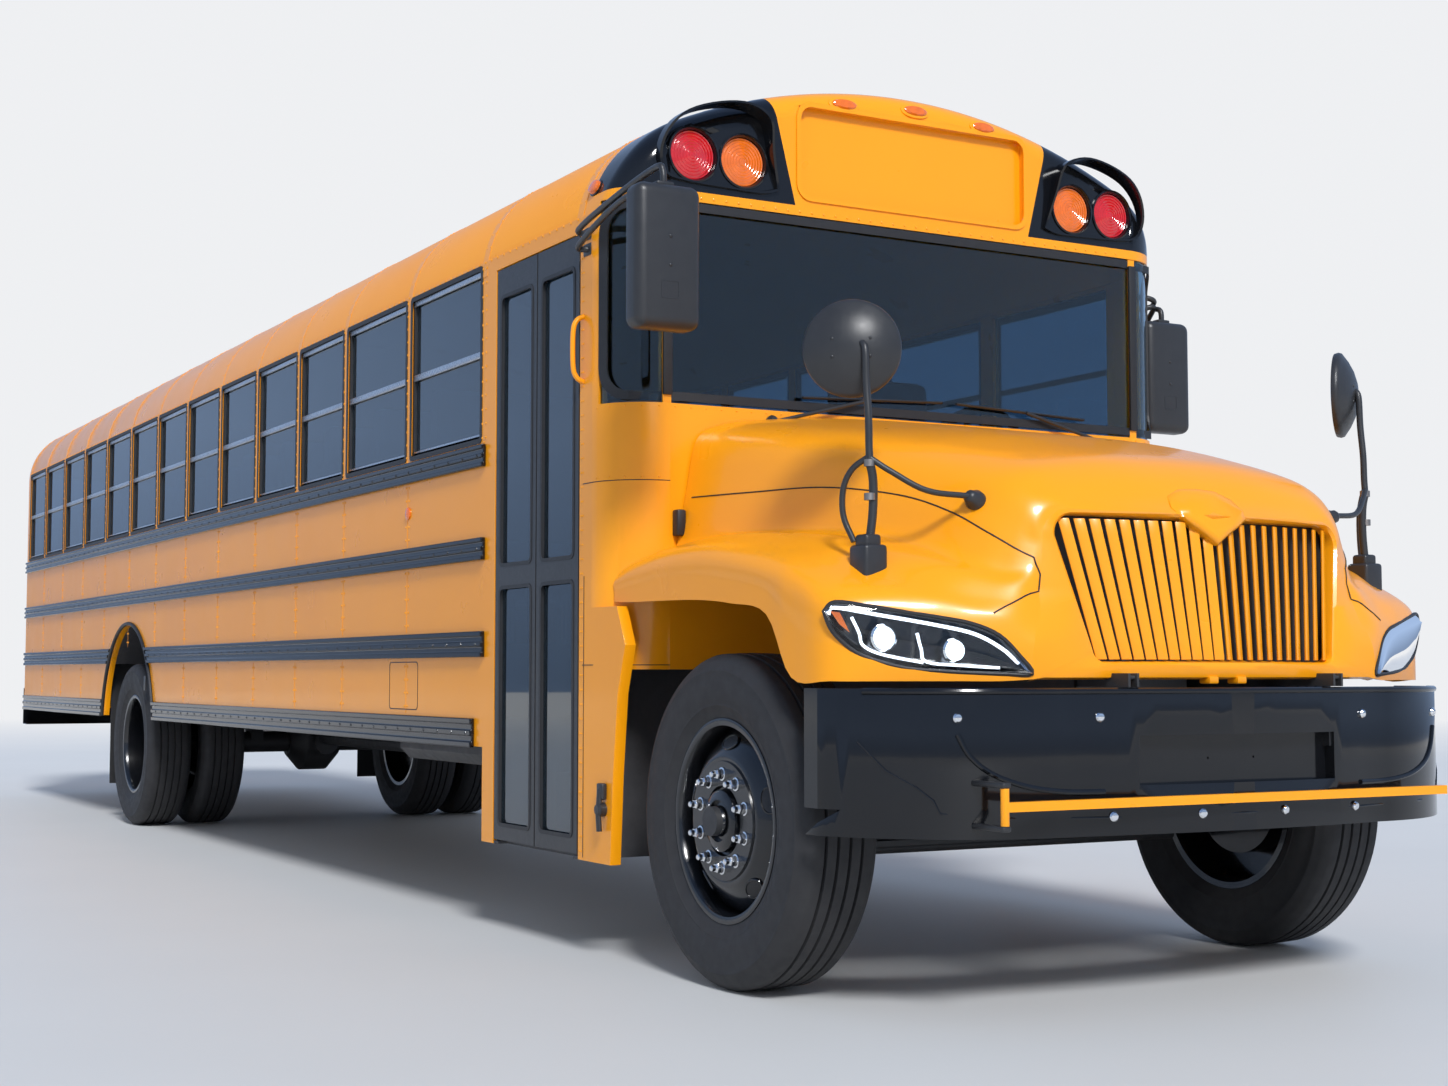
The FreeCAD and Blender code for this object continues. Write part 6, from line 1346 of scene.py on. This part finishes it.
def make_mirrors(sizes):
    """Side mirrors, and cross-view mirrors on stalks with a brace to the hood."""
    glass = bmesh.new()
    make_side_mirrors(glass)
    heads, clamps = bmesh.new(), bmesh.new()
    facing_angle = math.radians(36)
    x = FRONT_AXLE_X
    for side in SIDES:
        y = side * 1.0
        centre = Vector((5.664, y, 1.916))
        facing = Vector((math.cos(facing_angle), side * math.sin(facing_angle), 0))
        across = Vector((-facing.y, facing.x, 0))
        lathe(heads, centre, facing, [(0.135, -0.020), (0.143, -0.020), (0.146, -0.008), (0.143, 0.002),
                                      (0.134, 0.008), (0.114, 0.022), (0.082, 0.038), (0.044, 0.049),
                                      (0.0, 0.053)], 48)
        lathe(glass, centre, -facing, [(0.135, 0.019), (0.10, 0.026), (0.05, 0.030), (0.0, 0.031)], 40)
        for dy, dz in ((-0.055, 0.022), (0.055, 0.022), (-0.055, -0.030), (0.055, -0.030)):
            bulge = 0.053 * (1 - (math.hypot(dy, dz) / 0.150) ** 2)
            spot = centre + (bulge - 0.001) * facing + across * dy + Vector((0, 0, dz))
            rivets(heads, [(spot, facing)], 0.006)
        for stalk, radius in (
                (((0.568, 0.0, 1.925), (0.585, 0.0, 1.900), (0.590, 0.0, 1.80), (0.600, 0.0, 1.70),
                  (0.602, 0.0, 1.62), (0.606, 0.0, 1.565)), 0.011),
                (((0.606, 0.0, 1.572), (0.604, -0.012, 1.52), (0.602, -0.012, 1.43), (0.600, 0.0, 1.335)),
                 0.013),
                (((0.604, 0.0, 1.590), (0.560, 0.030, 1.555), (0.535, 0.045, 1.50), (0.535, 0.045, 1.42),
                  (0.560, 0.025, 1.345)), 0.009)):
            tube(heads, smooth_path([(x + ahead, y + side * out, z) for ahead, out, z in stalk], 5), radius)
        pad = Vector((x + 0.712, side * 0.704, 1.466))
        away = Vector((0.35, side, 0.35)).normalized()
        tube(heads, smooth_path([(x + 0.606, y, 1.585), (x + 0.640, side * 0.95, 1.545),
                                 (x + 0.690, side * 0.86, 1.490), pad + away * 0.035]), 0.009)
        lathe(heads, pad, away, [(0.0, -0.02), (0.030, -0.02), (0.030, 0.010), (0.022, 0.022), (0.020, 0.034),
                                 (0.012, 0.042), (0.0, 0.044)], 24)
        block(heads, (x + 0.552, y - 0.040, 1.205), (x + 0.640, y + 0.040, 1.335), 0.012, segments=3)
        block(heads, (x + 0.565, y - 0.028, 1.325), (x + 0.625, y + 0.028, 1.365), 0.010, segments=3)
        for z in (1.572, 1.475):
            lathe(clamps, (x + 0.604, y, z - 0.012), (0, 0, 1),
                  [(0.0, 0), (0.0165, 0), (0.0165, 0.020), (0.0, 0.020)], 16)
    tidy_normals(heads, glass, clamps)
    piece("cross_view_mirrors", heads, "satin_black", "hood", "mirror_black", ["hood_mirrors"], smooth=40)
    piece("mirror_clamps", clamps, "steel", "hood", "sash_metal")
    piece("mirror_glass", glass, "mirror_glass", "root", "sash_metal", smooth=50)


def lens(bm, centre, axis, radius):
    """A round lens with fine rings and a domed middle."""
    profile = [(radius, 0.0), (radius, 0.010)]
    count = 7
    for index in range(count):
        share = 1 - (index + 0.5) / (count + 0.5)
        profile.append((radius * (share + 0.04), 0.013 + 0.006 * (1 - share)))
        profile.append((radius * share, 0.011 + 0.006 * (1 - share)))
    profile.append((0.0, 0.020))
    lathe(bm, centre, axis, profile, 40)


def make_lamps(sizes):
    red, amber, rims = bmesh.new(), bmesh.new(), bmesh.new()
    front, behind = sizes.screen_x, (-1, 0, 0)
    cap = mesh_tree(frame["nodes"]["front_cap"].data)
    for side in SIDES:
        for bm, y in ((red, side * RED_Y), (amber, side * AMBER_Y)):
            lens(bm, (front - 0.024, y, SIGNAL_Z), (1, 0, 0), 0.086)
            lens(bm, (REAR_X - 0.001, y, SIGNAL_Z), behind, 0.083)
            lathe(rims, (front, y, SIGNAL_Z), (1, 0, 0), [(0.0975, -0.020), (0.099, 0.0), (0.099, 0.005),
                                                          (0.093, 0.007), (0.088, 0.0), (0.0865, -0.022)], 40)
            lathe(rims, (REAR_X, y, SIGNAL_Z), behind, [(0.094, 0.0), (0.094, 0.010), (0.088, 0.013),
                                                        (0.083, 0.010)], 40)
        for z in (1.560, 1.330):
            lens(red, (REAR_X - 0.001, side * TAIL_Y, z), behind, 0.084)
            lathe(rims, (REAR_X, side * TAIL_Y, z), behind, [(0.096, 0.0), (0.096, 0.010), (0.084, 0.012)],
                  40)
        spot, normal, _, _ = cap.ray_cast(Vector((4.335, side * 3.0, 2.655)), Vector((0, -side, 0)))
        oval(amber, spot, normal, (1, 0, 0), 0.034, 0.026, 0.020)
        oval(rims, spot, normal, (1, 0, 0), 0.040, 0.032, 0.004)
        lathe(amber, (2.592, side * sizes.body_half, 1.637), (0, side, 0),
              [(0.026, 0), (0.026, 0.006), (0.018, 0.010), (0, 0.011)], 20)
    for y in (0.0, 0.311, -0.311):
        spot, normal, _, _ = cap.ray_cast(Vector((FAR_AHEAD, y, 3.036 - 0.2 * y * y)), BACKWARDS)
        oval(amber, spot + normal * 0.003, normal, (0, 1, 0), 0.050, 0.019, 0.012)
        oval(rims, spot, normal, (0, 1, 0), 0.062, 0.028, 0.006, 1)
        oval(red, (REAR_X, y, 3.030 - 0.2 * y * y), behind, (0, 1, 0), 0.045, 0.017, 0.014)
    tidy_normals(red, amber, rims)
    piece("red_lamps", red, "red_lens", "root", "lamp_red", ["lamps_red"])
    piece("amber_lamps", amber, "amber_lens", "root", "lamp_amber", ["lamps_amber"])
    piece("lamp_bezels", rims, ["black_gloss", "body_yellow"], "root", "black_gloss")


def make_cabin(sizes):
    """Padded benches on legs, the driver's chair, the dash and the steering wheel."""
    legs = bmesh.new()
    floor = FLOOR_Z
    for row in range(12):
        x = 2.700 - row * sizes.window_pitch
        for side in SIDES:
            low_y, high_y = sorted((side * 0.180, side * 1.165))
            bench = bmesh.new()
            block(bench, (x + 0.045, low_y, floor + 0.30), (x + 0.465, high_y, floor + 0.42), 0.035)
            block(bench, (x - 0.028, low_y, floor + 0.36), (x + 0.070, high_y, floor + 1.075), 0.035)
            tidy_normals(bench)
            cushion = piece(f"bench_{row}_{'left' if side > 0 else 'right'}", bench, "seat_vinyl", "root",
                            "seat_vinyl", ["seats"] if row == 0 and side > 0 else ())
            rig.padded(cushion, fill=0.7)
            if abs(x + 0.25 - sizes.rear_axle_x) >= 0.75:  # no legs on the wheel boxes
                for leg in (x + 0.03, x + 0.42):
                    tube(legs, [(leg, side * 0.26, floor), (leg, side * 0.26, floor + 0.31)], 0.014, 8)
    chair = bmesh.new()
    block(chair, (3.45, 0.335, floor + 0.38), (3.91, 0.815, floor + 0.50), 0.04)
    block(chair, (3.40, 0.335, floor + 0.42), (3.50, 0.815, floor + 1.14), 0.04)
    tidy_normals(chair)
    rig.padded(piece("driver_seat", chair, "seat_vinyl", "root", "seat_vinyl"), fill=0.7)
    block(legs, (3.55, 0.45, floor), (3.80, 0.70, floor + 0.385), 0.02)
    piece("seat_legs", legs, "chassis_black", "root", "chassis_black")
    dress("dashboard", "dash_plastic", "dash_plastic", 0.008)
    dress("steering_wheel", "satin_black", "dash_plastic", 0.0)


# ---------------------------------------------------------------- stage

def make_floor(pale):
    """A round floor that fades into the backdrop far from the bus."""
    bm = bmesh.new()
    bmesh.ops.create_circle(bm, cap_ends=True, segments=96, radius=90.0)
    floor = plain_object("studio_floor", bm)
    material = bpy.data.materials.new("studio_floor")
    material.use_nodes = True
    tree = material.node_tree
    shader = tree.nodes["Principled BSDF"]
    place = shader_node(tree, "TexCoord").outputs["Object"]
    tone = two_tones(tree, place, 0.8, (0.62, 0.63, 0.64), (0.66, 0.67, 0.68))
    tree.links.new(tone, shader.inputs["Base Color"])
    shader.inputs["Roughness"].default_value = 0.55
    far = shader_node(tree, "VectorMath", ((0, place),), operation="LENGTH")
    fade = shader_node(tree, "MapRange", (("From Min", 14.0), ("From Max", 34.0),
                                          ("Value", far.outputs["Value"])))
    shine = shader_node(tree, "Emission", (("Color", pale),))
    mixed = shader_node(tree, "MixShader", ((0, fade.outputs["Result"]), (1, shader.outputs[0]),
                                            (2, shine.outputs[0])))
    tree.links.new(mixed.outputs[0], tree.nodes["Material Output"].inputs["Surface"])
    floor.data.materials.append(material)
    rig.stage(floor)


def make_world(pale):
    """A pale backdrop for the camera; a soft sky, bluer in reflections, for the light."""
    world = bpy.data.worlds.new("studio")
    bpy.context.scene.world = world
    world.use_nodes = True
    tree = world.node_tree
    tree.nodes.clear()
    place = shader_node(tree, "TexCoord").outputs["Generated"]
    split = shader_node(tree, "SeparateXYZ", ((0, place),))
    ramp = shader_node(tree, "ValToRGB", (("Fac", split.outputs["Z"]),))
    low, high = ramp.color_ramp.elements
    low.position, low.color = 0.0, (0.55, 0.56, 0.58, 1.0)
    high.position, high.color = 0.9, (0.34, 0.42, 0.55, 1.0)
    ramp.color_ramp.elements.new(0.12).color = (0.95, 0.96, 0.98, 1.0)
    rays = shader_node(tree, "LightPath")
    sky = shader_node(tree, "Mix", ((0, rays.outputs["Is Glossy Ray"]), (6, ramp.outputs["Color"]),
                                    (7, (0.50, 0.68, 1.0, 1.0))), data_type="RGBA", blend_type="MULTIPLY")
    lit = shader_node(tree, "Background", (("Color", sky.outputs[2]), ("Strength", 0.80)))
    seen = shader_node(tree, "Background", (("Color", pale),))
    mixed = shader_node(tree, "MixShader", ((0, rays.outputs["Is Camera Ray"]), (1, lit.outputs[0]),
                                            (2, seen.outputs[0])))
    shader_node(tree, "OutputWorld", (("Surface", mixed.outputs[0]),))


def make_stage(colours):
    scene = bpy.context.scene
    pale = (*colours.studio, 1.0)
    make_floor(pale)
    make_world(pale)
    key = bpy.data.lights.new("key", "SUN")
    key.energy = 3.0
    key.angle = math.radians(12)
    light = bpy.data.objects.new("key", key)
    light.rotation_euler = Vector((0.85, -0.25, 0.75)).to_track_quat("Z", "Y").to_euler()
    scene.collection.objects.link(light)
    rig.stage(light)

    camera = bpy.data.cameras.new("camera")
    camera.sensor_width = 36.0
    camera.lens = 49.2
    camera.clip_end = 300.0
    eye = bpy.data.objects.new("camera", camera)
    yaw, pitch = math.radians(150.558), math.radians(3.764)
    ahead = Vector((math.cos(yaw) * math.cos(pitch), math.sin(yaw) * math.cos(pitch), math.sin(pitch)))
    right = ahead.cross(Vector((0, 0, 1))).normalized()
    up = right.cross(ahead)
    turn = Matrix((right, up, -ahead)).transposed().to_4x4()
    eye.matrix_world = Matrix.Translation((10.4786, -4.1469, 0.9671)) @ turn
    scene.collection.objects.link(eye)
    scene.camera = eye
    scene.view_settings.view_transform = "Standard"


# ---------------------------------------------------------------- add-on

def step(idname, label, text, work, values="bus_sizes"):
    """An operator class that runs one builder with the scene's values."""
    def execute(self, context):
        try:
            work(getattr(context.scene, values))
        except Exception as problem:
            self.report({"ERROR"}, f"{label}: {problem}")
            raise
        return {"FINISHED"}
    return type("BUS_OT_" + idname, (bpy.types.Operator,), {
        "__doc__": text, "bl_idname": "bus." + idname, "bl_label": label, "execute": execute})


STEPS = (
    step("finishes", "Finishes", "Make the procedural finishes", make_finishes, "bus_colours"),
    step("body", "Body shell", "Dress walls, roof, floor and rails", make_body),
    step("rivets", "Rivets and seams", "Add the rivet rows and roof bows", make_body_rivets),
    step("glazing", "Glazing", "Glass, gaskets, bars and wipers", make_glazing),
    step("cap", "Front cap", "Cap with black housings and its trim", make_front_cap),
    step("front_details", "Front details", "Seams, handle and latches", make_front_details),
    step("hood", "Hood", "Hood and fender skin", make_hood),
    step("grille", "Grille", "Louvred slats, frame and boss", make_grille),
    step("headlights", "Headlights", "Pans, lenses, strips and projectors", make_headlights),
    step("bumpers", "Bumpers", "Bumpers, bolts and the crossing arm", make_bumpers),
    step("wheels", "Wheels", "Tyres with tread, rims and nuts", make_wheels),
    step("chassis", "Chassis", "Frame, axles, tank and exhaust", make_chassis),
    step("doors", "Doors", "Entry leaves and the rear door", make_doors),
    step("arms", "Stop arm", "Stop blade with its border", make_arms),
    step("mirrors", "Mirrors", "Mirror cases, glass and screws", make_mirrors),
    step("lamps", "Lamps", "Signal, tail and marker lamps", make_lamps),
    step("cabin", "Cabin", "Benches, chair, dash and wheel", make_cabin),
    step("stage", "Stage", "Floor, light and camera", make_stage, "bus_colours"),
)


class BUS_PT_panel(bpy.types.Panel):
    """Buttons and values of the bus"""
    bl_label = "School bus"
    bl_idname = "BUS_PT_panel"
    bl_space_type = "VIEW_3D"
    bl_region_type = "UI"
    bl_category = "Bus"

    def draw(self, context):
        for group in (context.scene.bus_sizes, context.scene.bus_colours):
            box = self.layout.box()
            for name in type(group).__annotations__:
                box.prop(group, name)
        for operator in STEPS:
            self.layout.operator(operator.bl_idname)


CLASSES = (BusSizes, BusColours, *STEPS, BUS_PT_panel)


def register():
    for each in CLASSES:
        bpy.utils.register_class(each)
    bpy.types.Scene.bus_sizes = bpy.props.PointerProperty(type=BusSizes)
    bpy.types.Scene.bus_colours = bpy.props.PointerProperty(type=BusColours)


def unregister():
    del bpy.types.Scene.bus_colours
    del bpy.types.Scene.bus_sizes
    for each in reversed(CLASSES):
        bpy.utils.unregister_class(each)


def main():
    register()
    before = [list(corner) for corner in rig.bounds()]
    for operator in STEPS:
        getattr(bpy.ops.bus, operator.bl_idname.split(".")[1])()
    after = [list(corner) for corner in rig.bounds()]
    with open("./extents.json", "w") as file:
        json.dump({"cad": before, "visual": after}, file)


if __name__ == "__main__":
    main()
